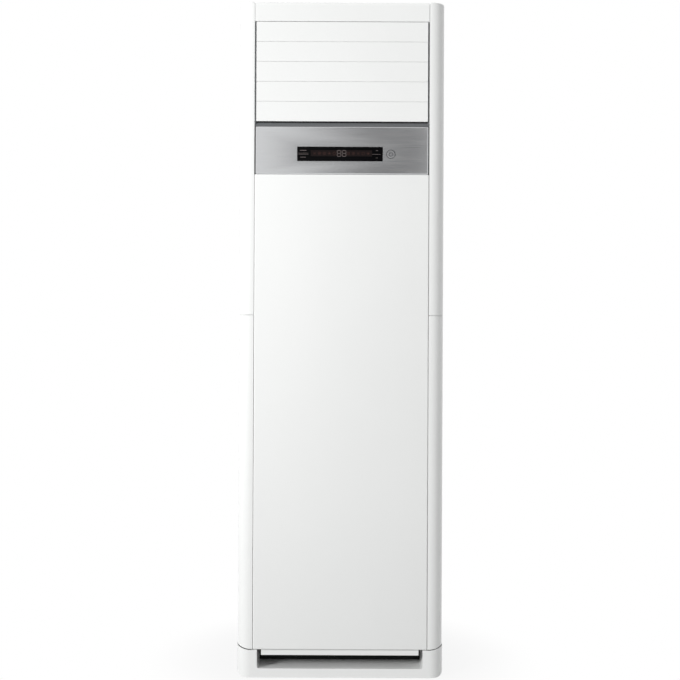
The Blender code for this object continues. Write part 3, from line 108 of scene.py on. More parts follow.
# Injection-moulded ABS: a soft sheen over a fine spark-eroded grain, with faint flow clouds.
# Powder-coated steel: the same white, glossier, with a faint orange peel.
whites = {
    "mouldedWhiteAbs": {"cloudMm": 160, "grainMm": 0.9, "detail": 1.0, "rough": (0.31, 0.35),
                        "relief": (0.06, 0.00006), "sockets": {"IOR": 1.53}},
    "powderCoatedSteel": {"cloudMm": 220, "grainMm": 1.6, "detail": 0.0, "rough": (0.27, 0.31),
                          "relief": (0.05, 0.0001),
                          "sockets": {"IOR": 1.5, "Coat_Weight": 0.15, "Coat_Roughness": 0.12}},
}
whiteTones = ("eff0ef", "f1f2f1")
for name, look in whites.items():
    material, tree, shader, mm = startMaterial(name, **look["sockets"])
    cloud = addNode(tree, "ShaderNodeTexNoise", {"Vector": mm, "Scale": 1 / look["cloudMm"], "Detail": 2.0})
    spread(tree, shader, cloud.outputs[0], whiteTones, look["rough"], span=(0.1, 0.9))
    grain = addNode(tree, "ShaderNodeTexNoise", {
        "Vector": mm, "Scale": 1 / look["grainMm"], "Detail": look["detail"]})
    spread(tree, shader, grain.outputs[0], relief=look["relief"])
    look["material"] = material

# Brushed and clear-anodised aluminium: fine level streaks that pull reflections upright.
# The brushing is about 0.1 mm wide, and is drawn four times as coarse so that it shows.
brushFinish = {"streakMm": (90, 90, 0.4), "colours": ("cdced0", "dedfe0"), "rough": (0.18, 0.26),
               "relief": (0.04, 0.00005)}
brushedAluminium, tree, shader, mm = startMaterial("brushedAluminium", Metallic=1.0, Anisotropic=0.75)
drawn = addNode(tree, "ShaderNodeVectorMath", {0: mm, 1: brushFinish["streakMm"]}, operation="DIVIDE")
streaks = addNode(tree, "ShaderNodeTexNoise", {"Vector": drawn.outputs[0], "Scale": 1.0, "Detail": 3.0})
spread(tree, shader, streaks.outputs[0], brushFinish["colours"], brushFinish["rough"], brushFinish["relief"],
       (0.25, 0.75))
addNode(tree, "ShaderNodeTangent", to=shader.inputs["Tangent"], direction_type="UV_MAP", uv_map="brushing")

# Screen-printed ink, dim behind the acrylic while the unit is off, and pad-printed ink on the button
inks = {"screenPrintedGrey": ("5c5554", "6d6564"), "screenPrintedRed": ("3c2926", "4b332f"),
        "screenPrintedSmoke": ("150f0f", "1b1414"), "padPrintedGrey": ("38393b", "434446")}
inkOf = {name: patterned(name, "Noise", 0.6, colours, (0.42, 0.52), detail=1.0, Specular_IOR_Level=0.12)
         for name, colours in inks.items()}

# Solder mask over glass fibre: glossy green, with copper tracks just showing through
solderMask, tree, shader, mm = startMaterial("solderMaskedBoard", Roughness=0.25)
flat = addNode(tree, "ShaderNodeSeparateXYZ", {0: mm})
flat = addNode(tree, "ShaderNodeCombineXYZ", {0: flat.outputs[0], 1: flat.outputs[2]})
addNode(tree, "ShaderNodeTexBrick", {
    "Vector": flat.outputs[0], "Color1": toLinear("0f4a2a"), "Color2": toLinear("12552f"),
    "Mortar": toLinear("1d6b3f"), "Scale": 1 / 12, "Mortar Size": 0.03,
}, to=shader.inputs["Base Color"])

# Closed-cell foam tape, grey and black: matt, with a fine open skin. Its grey and black are painted shade, for
# seams and a slot that lie in shadow.
toEdges = {"feature": "DISTANCE_TO_EDGE"}
shadeFoams = {"greyFoamPaintedShade": ("5c5e60", "6e7072"), "blackFoamPaintedShade": ("101112", "191a1b")}
shadeFoamOf = {name: patterned(name, "Voronoi", 0.8, colours, (0.9, 0.75), (0.3, 0.0001), span=(0.0, 0.2),
                          settings=toEdges, IOR=1.45) for name, colours in shadeFoams.items()}

finishOf = {
    "white_abs": whites["mouldedWhiteAbs"]["material"],
    "white_steel": whites["powderCoatedSteel"]["material"],
    "silver_panel": brushedAluminium,
    # cast black acrylic: a deep polished window with the slightest waviness
    "black_acrylic": patterned("castBlackAcrylic", "Noise", 45, ("040405", "08080a"), (0.05, 0.09),
                               (0.05, 0.0002), detail=1.0, IOR=1.49, Specular_IOR_Level=0.14),
    # satin paint on plastic, for the button's ring: fine flakes under a thin lacquer
    "silver_plastic": patterned("satinGreyPaint", "Voronoi", 0.25, ("2b2c2e", "3a3b3d"), (0.38, 0.52),
                                span=(0.1, 0.6), Metallic=0.2, Coat_Weight=0.1, Coat_Roughness=0.35),
    "circuit_board": solderMask,
    # moulded nylon: slightly waxy grey with a soft mottling
    "grey_nylon": patterned("mouldedGreyNylon", "Noise", 14, ("b9bab9", "c8c9c8"), (0.38, 0.52),
                            (0.05, 0.0002), detail=4.0, IOR=1.53),
    # hot-dip galvanised steel: spangles that catch the light one by one
    "zinc_steel": patterned("galvanisedSteel", "Voronoi", 9, ("989b9e", "b9bbbd"), (0.30, 0.48),
                            output="Color", span=(0.1, 0.9), Metallic=0.9),
    # expanded bead foam: rounded beads about 4 mm across, pressed flat at the mould's wall
    "duct_foam": patterned("expandedBeadFoam", "Voronoi", 4, ("c9c9c4", "e9e9e5"), (0.9, 0.8), (0.5, 0.0006),
                           span=(0.0, 0.12), settings=toEdges, Sheen_Weight=0.05),
    # aluminium fin stock under a thin clear coating
    "coil_aluminium": patterned("coatedFinStock", "Noise", 30, ("b3b8bf", "c9ced4"), (0.28, 0.42), detail=3.0,
                                Metallic=0.95),
    # drawn copper tube, a little tarnished
    "copper_tube": patterned("drawnCopper", "Noise", 22, ("a8623f", "d08a62"), (0.42, 0.25), detail=5.0,
                             Metallic=1.0),
    # black ABS, moulded with a light grain
    "black_plastic": patterned("mouldedBlackAbs", "Noise", 1.1, ("1b1c1d", "242526"), (0.40, 0.55),
                               (0.1, 0.0001), detail=2.0, IOR=1.53),
    # woven nylon filter mesh in its moulded frame: matt blue-grey threads
    "filter_mesh": patterned("wovenNylonMesh", "Noise", 3, ("5f6c78", "717f8c"), (0.55, 0.75), detail=3.0,
                             IOR=1.53),
}


# Shapes

def arcPoints(centre, radius, start, end, steps):
    turns = [math.radians(start + (end - start) * i / steps) for i in range(steps + 1)]
    return [(centre[0] + radius * math.cos(a), centre[1] + radius * math.sin(a)) for a in turns]


def bothSides(right):
    return right + [(-u, v) for u, v in reversed(right)]


def rect(low, high):
    return [(low[0], low[1]), (high[0], low[1]), (high[0], high[1]), (low[0], high[1])]


def place(u, v, w, axis):
    # a point (u, v) of a drawing that faces the axis, at w along it
    return {"X": (w, u, v), "Y": (u, w, v), "Z": (u, v, w)}[axis]


def linked(name, data):
    obj = bpy.data.objects.new(name, data)
    bpy.context.scene.collection.objects.link(obj)
    return obj


def asObject(name, bm, turnOut=True):
    if turnOut:
        bmesh.ops.recalc_face_normals(bm, faces=bm.faces)
    mesh = bpy.data.meshes.new(name)
    bm.to_mesh(mesh)
    bm.free()
    return linked(name, mesh)


def addPlate(bm, outlines, axis, low, high):
    # a flat drawing, whose further outlines are holes, between two places along an axis
    edges = []
    for outline in outlines:
        verts = [bm.verts.new(place(u, v, low, axis)) for u, v in outline]
        edges += [bm.edges.new(pair) for pair in zip(verts, verts[1:] + verts[:1])]
    filled = bmesh.ops.triangle_fill(bm, use_beauty=True, edges=edges)["geom"]
    faces = [item for item in filled if isinstance(item, bmesh.types.BMFace)]
    grown = bmesh.ops.extrude_face_region(bm, geom=faces)["geom"]
    moved = [item for item in grown if isinstance(item, bmesh.types.BMVert)]
    bmesh.ops.translate(bm, vec=Vector(place(0, 0, high - low, axis)), verts=moved)


def addBlock(bm, low, high):
    size = [h - l for l, h in zip(low, high)]
    middle = [(h + l) / 2 for l, h in zip(low, high)]
    bmesh.ops.create_cube(bm, size=1.0, matrix=Matrix.Translation(middle) @ Matrix.Diagonal((*size, 1.0)))


def addRod(bm, start, end, radius, sides=24):
    start, end = Vector(start), Vector(end)
    turn = (end - start).to_track_quat("Z", "Y").to_matrix().to_4x4()
    bmesh.ops.create_cone(
        bm, cap_ends=True, segments=sides, radius1=radius, radius2=radius, depth=(end - start).length,
        matrix=Matrix.Translation((start + end) / 2) @ turn,
    )


def made(name, *shapes):
    # a piece of closed shapes, each given as its adding function and sizes
    bm = bmesh.new()
    for add, *sizes in shapes:
        add(bm, *sizes)
    return asObject(name, bm)


def addTo(obj, *shapes):
    # further closed shapes in a finished mesh
    bm = bmesh.new()
    bm.from_mesh(obj.data)
    for add, *sizes in shapes:
        add(bm, *sizes)
    bm.to_mesh(obj.data)
    bm.free()


def bake(obj):
    # turns what the modifiers make into the object's plain mesh
    graph = bpy.context.evaluated_depsgraph_get()
    mesh = bpy.data.meshes.new_from_object(
        obj.evaluated_get(graph), preserve_all_data_layers=True, depsgraph=graph)
    obj.modifiers.clear()
    old, obj.data = obj.data, mesh
    bpy.data.meshes.remove(old)
    return obj


def modify(obj, kind, **settings):
    modifier = obj.modifiers.new(kind.lower(), kind)
    for name, value in settings.items():
        setattr(modifier, name, value)
    bpy.context.view_layer.update()
    return bake(obj)


def thicken(obj, wall):
    return modify(obj, "SOLIDIFY", thickness=wall, offset=-1.0, use_even_offset=True)


def meet(obj, other, operation="DIFFERENCE"):
    # cuts the other solid out of the piece, or keeps only what both hold
    modify(obj, "BOOLEAN", operation=operation, solver="EXACT", object=other)
    bpy.data.objects.remove(other, do_unlink=True)
    return obj


def cut(obj, *shape):
    return meet(obj, made("cutter", shape))


def softenEdges(obj, width, segments=2, angle=30):
    obj.data.shade_smooth()
    return modify(obj, "BEVEL", width=width, segments=segments, angle_limit=math.radians(angle),
                  harden_normals=True, miter_outer="MITER_ARC", use_clamp_overlap=True)


def smoothed(obj, angle=30):
    # smooth over gentle bends, with large flat faces kept flat
    obj.data.shade_smooth()
    obj.data.set_sharp_from_angle(angle=math.radians(angle))
    return modify(obj, "WEIGHTED_NORMAL", keep_sharp=True)


def bentSheet(name, path, low, high, wall, axis="Z"):
    # a sheet that follows a path; low may depend on the place, and the wall grows inwards
    bm = bmesh.new()
    foot = low if callable(low) else (lambda point: low)
    rows = [[bm.verts.new(place(*point, z, axis)) for z in (foot(point), high)] for point in path]
    for near, far in zip(rows, rows[1:]):
        bm.faces.new((near[0], far[0], far[1], near[1]))
    return thicken(asObject(name, bm, turnOut=False), wall)


def copyNode(node):
    # a merged copy of a CAD node's loose triangles
    bm = bmesh.new()
    bm.from_mesh(nodes[node].data)
    bmesh.ops.remove_doubles(bm, verts=bm.verts, dist=1e-6)
    bmesh.ops.dissolve_limit(bm, angle_limit=math.radians(1), verts=bm.verts, edges=bm.edges)
    return asObject(node + "_look", bm, turnOut=False)


def joined(name, *objs):
    bm = bmesh.new()
    for obj in objs:
        bm.from_mesh(obj.data)
        bpy.data.objects.remove(obj, do_unlink=True)
    return asObject(name, bm, turnOut=False)


def dress(obj, *replaced, finish=None, body="cabinet", slot=None):
    # the piece gets its finish, rides on its body and stands for its CAD nodes
    if replaced:
        body, slot = bodyOf[replaced[0]], slotOf[replaced[0]]
    obj.data.materials.clear()
    obj.data.materials.append(finish or finishOf[slot])
    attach(obj, body)
    if replaced:
        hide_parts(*replaced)


def dressPair(obj, name, node):
    # the right piece, and its mirrored twin on the left
    mesh = obj.data.copy()
    mesh.transform(Matrix.Diagonal((-1, 1, 1, 1)))
    mesh.flip_normals()
    dress(linked(name + "_left", mesh), node + "_left")
    dress(obj, node + "_right")


print("cabinet")
cabinet = {"width": 0.570, "depth": 0.400, "height": 1.860, "side": 0.2835, "columnFront": -0.1985,
           "columnBack": 0.040, "columnEdge": 0.2411, "wall": 0.0025, "corner": 0.0375, "rearCorner": 0.015,
           "faceY": -0.1995, "landingY": -0.179, "landingWidth": 0.016, "split": 0.998, "splitHalf": 0.00045,
           "rimSeam": 0.0013, "topRound": 0.008, "fit": 0.0003, "steps": 24}
front, back = -cabinet["depth"] / 2, cabinet["depth"] / 2
side, edge, faceY, fit = cabinet["side"], cabinet["columnEdge"], cabinet["faceY"], cabinet["fit"]
splitLow, splitHigh = cabinet["split"] - cabinet["splitHalf"], cabinet["split"] + cabinet["splitHalf"]

# Base: a plinth with a wide toe slot, rounded feet and a rim that climbs to the outer sides
base = {"wall": 0.003, "tall": 0.110, "frontCorner": 0.039, "rearCorner": 0.015, "footX": 0.022,
        "footZ": 0.014, "rim": 0.076, "rimRise": 0.008, "rimSpan": 0.0424, "rimDrop": 0.0010,
        "slotHalf": 0.2285, "slotFloor": 0.025, "slotTop": 0.12, "slotDepth": 0.090, "slotCorner": 0.006,
        "underFront": 0.006, "underBack": -0.113, "past": 0.01, "steps": 12}


def rimHeight(point):
    share = max(0.0, (abs(point[0]) - edge) / base["rimSpan"])
    return base["rim"] + base["rimRise"] * share * share


def basePlan(inset):
    half = cabinet["width"] / 2 - inset
    frontRound, rearRound = base["frontCorner"] - inset, base["rearCorner"] - inset
    nearCentre = (half - frontRound, front + inset + frontRound)
    farCentre = (half - rearRound, back - inset - rearRound)
    near, far = arcPoints(nearCentre, frontRound, -90, 0, 20), arcPoints(farCentre, rearRound, 0, 90, 8)
    return bothSides(near + far)


def baseFront(inset, top=None):
    half, steps = cabinet["width"] / 2 - inset, base["steps"]
    turns = [math.pi / 2 * i / steps for i in range(steps + 1)]
    right = [(half - base["footX"] * (1 - math.sin(a)), inset + base["footZ"] * (1 - math.cos(a)))
             for a in turns]
    if top:
        return bothSides(right + [(half, top)])
    for i in range(steps + 1):
        x = half - (half - edge) * i / steps
        right.append((x, rimHeight((x, 0)) - (base["rimDrop"] if i < steps else 0.0)))
    return bothSides(right)


def crossed(name, plan, silhouette, low):
    # the solid that has one outline from above and the other from the front
    solid = made(name, (addPlate, [plan], "Z", low, base["tall"]))
    other = made(name + "_front", (addPlate, [silhouette], "Y", front - base["past"], back + base["past"]))
    return meet(solid, other, "INTERSECT")


plinth = crossed("plinth", basePlan(0.0), baseFront(0.0), 0.0)
inset, past = base["wall"], base["past"]
hollow = crossed("plinth_hollow", basePlan(inset), baseFront(inset, base["tall"] - 0.001), -0.001)
surround, slotBack = base["slotHalf"] + inset, front + base["slotDepth"]
cut(hollow, addBlock, (-surround, front - past, -past), (surround, slotBack + inset, base["slotTop"]))
meet(plinth, hollow)
low = base["slotFloor"] + base["slotCorner"]
right = arcPoints((base["slotHalf"] - base["slotCorner"], low), base["slotCorner"], -90, 0, 8)
right.append((base["slotHalf"], base["slotTop"]))
cut(plinth, addPlate, [bothSides(right)], "Y", front - past, slotBack)
under = base["slotHalf"] - inset                           # the hollow under the slot's floor
cut(plinth, addBlock, (-under, front + base["underFront"], -past),
    (under, base["underBack"], base["slotFloor"] - inset))
softenEdges(plinth, 0.0008)
dress(plinth, "base")


# Side columns: a landing flange, a face and a rounded corner, then the side back to the rear panel
def columnPath():
    centre = (side - cabinet["corner"], cabinet["columnFront"] + cabinet["corner"])
    start = [(edge - cabinet["landingWidth"], cabinet["landingY"]), (edge, cabinet["landingY"]),
             (edge, cabinet["columnFront"])]
    bend = arcPoints(centre, cabinet["corner"], -90, 0, cabinet["steps"])
    return start + bend + [(side, cabinet["columnBack"])]


lower = bentSheet("lower_column_right", columnPath(), lambda p: rimHeight(p) + cabinet["rimSeam"],
                  splitLow, cabinet["wall"])
intakeOpening = ((0.246, -0.130, 0.127), (0.294, 0.030, 0.884))
cut(lower, addBlock, *intakeOpening)
softenEdges(lower, 0.0006)
dressPair(lower, "lower_column", "column_lower")

bm = bmesh.new()
path = columnPath()
feet, heads = ([bm.verts.new((x, y, z)) for x, y in path] for z in (splitHigh, cabinet["height"]))
for i in range(len(path) - 1):
    bm.faces.new((feet[i], feet[i + 1], heads[i + 1], heads[i]))
inner = bm.verts.new((edge, cabinet["columnBack"], cabinet["height"]))
bm.faces.new(heads[1:] + [inner])
shoulder = [bm.edges.get(pair) for pair in zip(heads[2:], heads[3:])]
bmesh.ops.bevel(bm, geom=shoulder, offset=cabinet["topRound"], segments=8, profile=0.5, affect="EDGES")
upper = thicken(asObject("upper_column_right", bm, turnOut=False), cabinet["wall"])
# room for the outlet frame, then for the top trim
room = {"front": -0.1957, "back": -0.169, "foot": 1.518, "frameHalf": 0.2443, "frameTop": 1.8572,
        "over": 1.870}
for reach, top in ((room["frameHalf"], room["frameTop"]), (edge, room["over"])):
    cut(upper, addBlock, (0.0, room["front"], room["foot"]), (reach, room["back"], top))
softenEdges(upper, 0.0006)
dressPair(upper, "upper_column", "column_upper")


# Face panels: rounded pans with returns that reach back to the columns' landing
def pan(name, sizes):
    bm = bmesh.new()
    half, reach = sizes["half"], cabinet["landingY"] - fit
    addBlock(bm, (-half, faceY, sizes["low"]), (half, reach, sizes["high"]))
    bm.normal_update()
    bmesh.ops.delete(bm, geom=[item for item in bm.faces if item.normal.y > 0.5], context="FACES_ONLY")
    rounded = [item for item in bm.edges if len(item.link_faces) == 2]
    bmesh.ops.bevel(bm, geom=rounded, offset=sizes["radius"], segments=6, profile=0.5, affect="EDGES")
    return thicken(asObject(name, bm), sizes["wall"])


facePanel = {"half": 0.2402, "low": 0.0769, "high": 1.3859, "wall": 0.002, "radius": 0.003,
             "flangeHalf": 0.2175, "flangeTop": 0.0779, "flangeFoot": 0.060, "flangeY": -0.1925}
panel = pan("front_panel_look", facePanel)
addTo(panel, (addBlock, (-facePanel["flangeHalf"], facePanel["flangeY"], facePanel["flangeFoot"]),
              (facePanel["flangeHalf"], facePanel["flangeY"] + facePanel["wall"], facePanel["flangeTop"])))
softenEdges(panel, 0.0004)
dress(panel, "front_panel")

control = {"half": 0.2384, "low": 1.3864, "high": 1.5177, "wall": 0.002, "radius": 0.003, "windowX": -0.0052,
           "windowHalf": 0.118, "windowLow": 1.422, "windowHigh": 1.462, "paneGap": 0.0003, "lip": 0.003,
           "lipFront": -0.1972, "lipBack": -0.1955, "buttonX": 0.135, "buttonZ": 1.442, "buttonHole": 0.0124,
           "cutFront": -0.21, "cutBack": -0.187, "bossRoot": -0.1985, "board": -0.1895,
           "bossX": (-0.1296, 0.1522), "bossZ": (1.4156, 1.4684), "boss": 0.003}
middle, half = control["windowX"], control["windowHalf"]
centre = (control["buttonX"], control["buttonZ"])
fascia = pan("control_fascia", control)
cutFront, cutBack, (x, z) = control["cutFront"], control["cutBack"], centre
cut(fascia, addBlock, (middle - half, cutFront, control["windowLow"]),
    (middle + half, cutBack, control["windowHigh"]))
cut(fascia, addRod, (x, cutFront, z), (x, cutBack, z), control["buttonHole"], 64)
softenEdges(fascia, 0.0003)
addTo(fascia, *((addRod, (x, control["bossRoot"], z), (x, control["board"] - fit, z), control["boss"], 20)
                for x in control["bossX"] for z in control["bossZ"]))


def mapBrushing(obj):
    # a UV map seen from the front, so that the brushing runs level
    layer = obj.data.uv_layers.new(name="brushing")
    for loop in obj.data.loops:
        x, _, z = obj.data.vertices[loop.vertex_index].co
        layer.data[loop.index].uv = (x, z)


mapBrushing(fascia)
dress(fascia, "control_panel")

# Display window: a flush black block on a lip, with its marks printed dim on the face
half, low, high = half - control["paneGap"], control["windowLow"], control["windowHigh"]
pane = made("window_pane", (addBlock, (middle - half, faceY, low + control["paneGap"]),
                            (middle + half, control["lipBack"], high - control["paneGap"])))
softenEdges(pane, 0.0003)
half, lip = control["windowHalf"] + control["lip"], control["lip"]
addTo(pane, (addBlock, (middle - half, control["lipFront"], low - lip),
             (middle + half, control["lipBack"], high + lip)))
dress(pane, "display_window")

marks = {"relief": 0.00008, "digitHeight": 0.0165, "digitWidth": 0.0100, "digitSpacing": 0.0140,
         "digitStroke": 0.0015, "levelEnd": 0.0014, "uprightEnd": 0.0016, "digitX": -0.0009,
         "iconPitch": 0.0136, "iconStart": 0.0195, "iconX": -0.0016, "iconSize": 0.0042,
         "iconLine": 0.0007, "middle": 1.4435, "gap": 0.0006,
         "field": ((-0.0860, 1.4355), (0.0830, 1.4525)), "fieldRelief": 0.00003}
# plain short bars where small words stood: height, left end, the bars' lengths in millimetres, line
barRows = [(1.4516, -0.1156, (4.2, 3.0, 5.6, 3.2), 0.0019),
           (1.4441, -0.1194, (5.8, 3.4, 7.2, 4.6, 3.6), 0.0010),
           (1.4409, -0.1194, (3.8, 6.4, 4.4, 5.2, 4.8), 0.0010), (1.4328, -0.1147, (3.6, 4.8, 5.7), 0.0017),
           (1.4517, 0.0939, (2.2, 2.5), 0.0015), (1.4415, 0.0837, (5.6, 3.6, 6.4, 5.2), 0.0010),
           (1.4315, 0.0936, (2.0, 2.4), 0.0009)]


def addStroke(bm, start, end, width, y=faceY):
    # a flat bar between two points of the face
    start, end = Vector(start), Vector(end)
    ahead = (end - start).normalized() * width / 2
    aside = Vector((-ahead.y, ahead.x))
    outline = [start - ahead - aside, end + ahead - aside, end + ahead + aside, start - ahead + aside]
    addPlate(bm, [outline], "Y", y - marks["relief"], y)


def addHoop(bm, centre, outer, inner, steps=32):
    rings = [arcPoints(centre, radius, 0, 360 - 360 / steps, steps - 1)
             for radius in (outer, inner) if radius]
    addPlate(bm, rings, "Y", faceY - marks["relief"], faceY)


level = marks["middle"]
strokes = []
halfHigh, halfWide, digitLine = marks["digitHeight"] / 2, marks["digitWidth"] / 2, marks["digitStroke"]
acrossHalf, uprightHalf = halfWide - marks["levelEnd"], halfHigh / 2 - marks["uprightEnd"]
for sign in (-1, 1):
    x = marks["digitX"] + sign * marks["digitSpacing"] / 2
    for z in (level - halfHigh, level, level + halfHigh):
        strokes.append(((x - acrossHalf, z), (x + acrossHalf, z), digitLine))
    for u in (x - halfWide, x + halfWide):
        for z in (level - halfHigh / 2, level + halfHigh / 2):
            strokes.append(((u, z - uprightHalf), (u, z + uprightHalf), digitLine))
for row, x, lengths, tall in barRows:
    for length in lengths:
        strokes.append(((x + tall / 2, row), (x + length / 1000 - tall / 2, row), tall))
        x += length / 1000 + marks["gap"]
dress(made("display_digits", *((addStroke, *stroke) for stroke in strokes)), finish=inkOf["screenPrintedGrey"])

bm = bmesh.new()
size, line = marks["iconSize"], marks["iconLine"]
iconSpots = [(sign, i, marks["iconX"] + sign * (marks["iconStart"] + i * marks["iconPitch"]))
             for sign in (-1, 1) for i in range(5)]
for sign, i, x in iconSpots:
    kind = i if sign < 0 else (i + 2) % 5
    if kind in (0, 3):      # a ring, and one with a dot
        addHoop(bm, (x, level), size, size - line)
    if kind == 3:
        addHoop(bm, (x, level), 0.0012, 0, 16)
    if kind in (1, 4):      # a star of three bars, and a cross
        for turn in ((0, 60, 120) if kind == 1 else (45, 135)):
            dx, dz = size * math.cos(math.radians(turn)), size * math.sin(math.radians(turn))
            addStroke(bm, (x - dx, level - dz), (x + dx, level + dz), line, faceY - 0.00001 * (turn // 45))
    if kind == 2:           # three level bars
        for dz in (-size * 0.7, 0, size * 0.7):
            addStroke(bm, (x - size, level + dz), (x + size, level + dz), 0.0008)
dress(asObject("display_icons", bm), finish=inkOf["screenPrintedRed"])
# a smoke-tinted field behind the icons
field = made("display_field", (addPlate, [rect(*marks["field"])], "Y", faceY - marks["fieldRelief"], faceY))
dress(field, finish=inkOf["screenPrintedSmoke"])

# Round button: a flush cap in a thin raised ring, with a power symbol
button = {"radius": 0.0108, "edge": 0.0005, "back": -0.196, "stem": 0.003, "stemEnd": -0.1913,
          "ringOuter": 0.0121, "ringInner": 0.0111, "ringFront": -0.1998, "ringBack": -0.1953,
          "ringEdge": 0.0002, "symbol": 0.0060, "arc": (125, 415), "bar": (0.0018, 0.0056), "line": 0.0015,
          "steps": 64}


def turnedPiece(name, profile, centre, steps):
    # a turned piece on an axis along Y; the profile's points are (radius, y)
    bm = bmesh.new()
    verts = [bm.verts.new((centre[0] + radius, y, centre[1])) for radius, y in profile]
    edges = [bm.edges.new(pair) for pair in zip(verts, verts[1:])]
    if profile[0][0] > 0:
        edges.append(bm.edges.new((verts[-1], verts[0])))
    bmesh.ops.spin(bm, geom=verts + edges, cent=(centre[0], 0, centre[1]), axis=(0, 1, 0),
                   angle=2 * math.pi, steps=steps, use_merge=True)
    bmesh.ops.remove_doubles(bm, verts=bm.verts, dist=1e-6)
    return asObject(name, bm)


r, bend = button["radius"], button["edge"]
profile = [(0.0, faceY), (r - bend, faceY)]
for i in range(1, 4):
    angle = math.pi / 8 * i
    profile.append((r - bend * (1 - math.sin(angle)), faceY + bend * (1 - math.cos(angle))))
profile += [(r, faceY + bend), (r, button["back"]), (button["stem"], button["back"]),
            (button["stem"], button["stemEnd"]), (0.0, button["stemEnd"])]
cap = smoothed(turnedPiece("power_button_cap", profile, centre, button["steps"]))
mapBrushing(cap)
dress(cap, "power_button", finish=brushedAluminium)
outerArc = arcPoints(centre, button["symbol"], *button["arc"], 40)
innerArc = arcPoints(centre, button["symbol"] - button["line"], *button["arc"][::-1], 40)
foot, top = ((centre[0], centre[1] + rise) for rise in button["bar"])
symbol = made("power_symbol", (addPlate, [outerArc + innerArc], "Y", faceY - marks["relief"], faceY),
              (addStroke, foot, top, button["line"]))
dress(symbol, finish=inkOf["padPrintedGrey"], body="power_button")
inner, outer, ringFront, bend = (button["ring" + key] for key in ("Inner", "Outer", "Front", "Edge"))
profile = [(inner, button["ringBack"]), (inner, ringFront + bend), (inner + bend, ringFront),
           (outer - bend, ringFront), (outer, ringFront + bend), (outer, button["ringBack"])]
dress(smoothed(turnedPiece("button_ring_turned", profile, centre, button["steps"])), "button_ring")


# Louvres: flat-faced slats with blunt rounded tips and a full back, on two end pins each
print("louvres")
louvre = {"count": 5, "pitch": 0.0549, "gap": 0.0004, "top": 1.8060, "pivotY": -0.190, "face": -0.0095,
          "tipRound": 0.0007, "tipBack": -0.0040, "back": 0.0035, "half": 0.2363, "pin": 0.0025,
          "pinLeft": -0.2408, "pinRight": 0.2443, "pinRoot": 0.2303, "boss": 0.0022, "bossPitch": 0.052,
          "bossRoot": 0.0030, "bossEnd": 0.0041}
halfTall = (louvre["pitch"] - louvre["gap"]) / 2
r = louvre["tipRound"]
outline = arcPoints((louvre["face"] + r, halfTall - r), r, 180, 90, 5)
for share in (1 - i / 8 for i in range(17)):
    outline.append((louvre["back"] - (louvre["back"] - louvre["tipBack"]) * share * share, share * halfTall))
outline += arcPoints((louvre["face"] + r, r - halfTall), r, 270, 180, 5)
slat = made("slat", (addPlate, [outline], "X", -louvre["half"], louvre["half"]))
softenEdges(slat, 0.0004, 2, 50)
pins = ((louvre["pinLeft"], -louvre["pinRoot"]), (louvre["pinRoot"], louvre["pinRight"]))
bosses = [louvre["bossPitch"] * i for i in range(-4, 5)]   # ejector-pin bosses along the moulded back
addTo(slat, *((addRod, (low, 0, 0), (high, 0, 0), louvre["pin"], 24) for low, high in pins),
      *((addRod, (x, louvre["bossRoot"], 0), (x, louvre["bossEnd"], 0), louvre["boss"], 16) for x in bosses))
smoothed(slat)
for i in range(louvre["count"]):
    mesh = slat.data.copy()
    mesh.transform(Matrix.Translation((0, louvre["pivotY"], louvre["top"] - (i + 0.5) * louvre["pitch"])))
    dress(linked(f"slat_{i + 1}", mesh), f"louvre_{i + 1}")
bpy.data.objects.remove(slat, do_unlink=True)


# Foam seals on the outlet's sill, which the lowest louvre closes over, and on the frame's cheeks;
# then black ones behind the sides of the control panel and on the back wall of the toe slot.
# Their grey and black are painted shade: dark pieces set where these gaps and the slot lie in shadow.
sill = {"half": 0.2377, "foot": 1.5184, "top": 1.5292, "cheekTop": 1.8060, "bedZ": 1.5215, "noseZ": 1.5225,
        "front": -0.1972, "back": -0.1890, "lip": 0.0024, "skin": 0.0006, "edge": 0.0002,
        "cheekInner": 0.2378, "outer": 0.2410, "panelInner": 0.2386, "panelFoot": 1.3866, "panelTop": 1.5176,
        "panelBack": -0.1792}
# a black lining on the back wall of the toe slot: painted shade, where the slot's depth lies in shadow
toeSlotPaintedShade = ((-0.2265, -0.1125, 0.0253), (0.2265, -0.1103, 0.1080))
nose, foot, skinY = sill["front"], sill["foot"], sill["front"] + sill["skin"]
outline = [(nose, foot), (skinY, foot), (skinY, sill["bedZ"]), (sill["back"], sill["bedZ"]),
           (sill["back"], sill["top"]), (sill["back"] - sill["lip"], sill["top"]), (nose, sill["noseZ"])]


def sealSpans(inner):
    return (inner, sill["outer"]), (-sill["outer"], -inner)


cheeks = [(addBlock, (low, nose, foot), (high, skinY, sill["cheekTop"]))
          for low, high in sealSpans(sill["cheekInner"])]
seals = made("outlet_seals", (addPlate, [outline], "X", -sill["half"], sill["half"]), *cheeks)
linings = [((low, nose, sill["panelFoot"]), (high, sill["panelBack"], sill["panelTop"]))
           for low, high in sealSpans(sill["panelInner"])]
lining = made("panel_seals", *((addBlock, *corners) for corners in linings + [toeSlotPaintedShade]))
# the seals' grey and black foam finishes are painted shade
for piece, foam in ((seals, "greyFoamPaintedShade"), (lining, "blackFoamPaintedShade")):
    softenEdges(piece, sill["edge"])
    dress(piece, finish=shadeFoamOf[foam], slot="black_plastic")


# Top trim and cover
trim = {"half": 0.2402, "back": -0.1495, "top": 1.860, "foot": 1.8069, "round": 0.008, "wall": 0.0025}
path = [(trim["back"], trim["top"])]
path += arcPoints((faceY + trim["round"], trim["top"] - trim["round"]), trim["round"], 90, 180, 16)
path.append((faceY, trim["foot"]))
crown = bentSheet("top_trim_look", path, -trim["half"], trim["half"], trim["wall"], "X")
softenEdges(crown, 0.0004)
dress(crown, "top_trim")

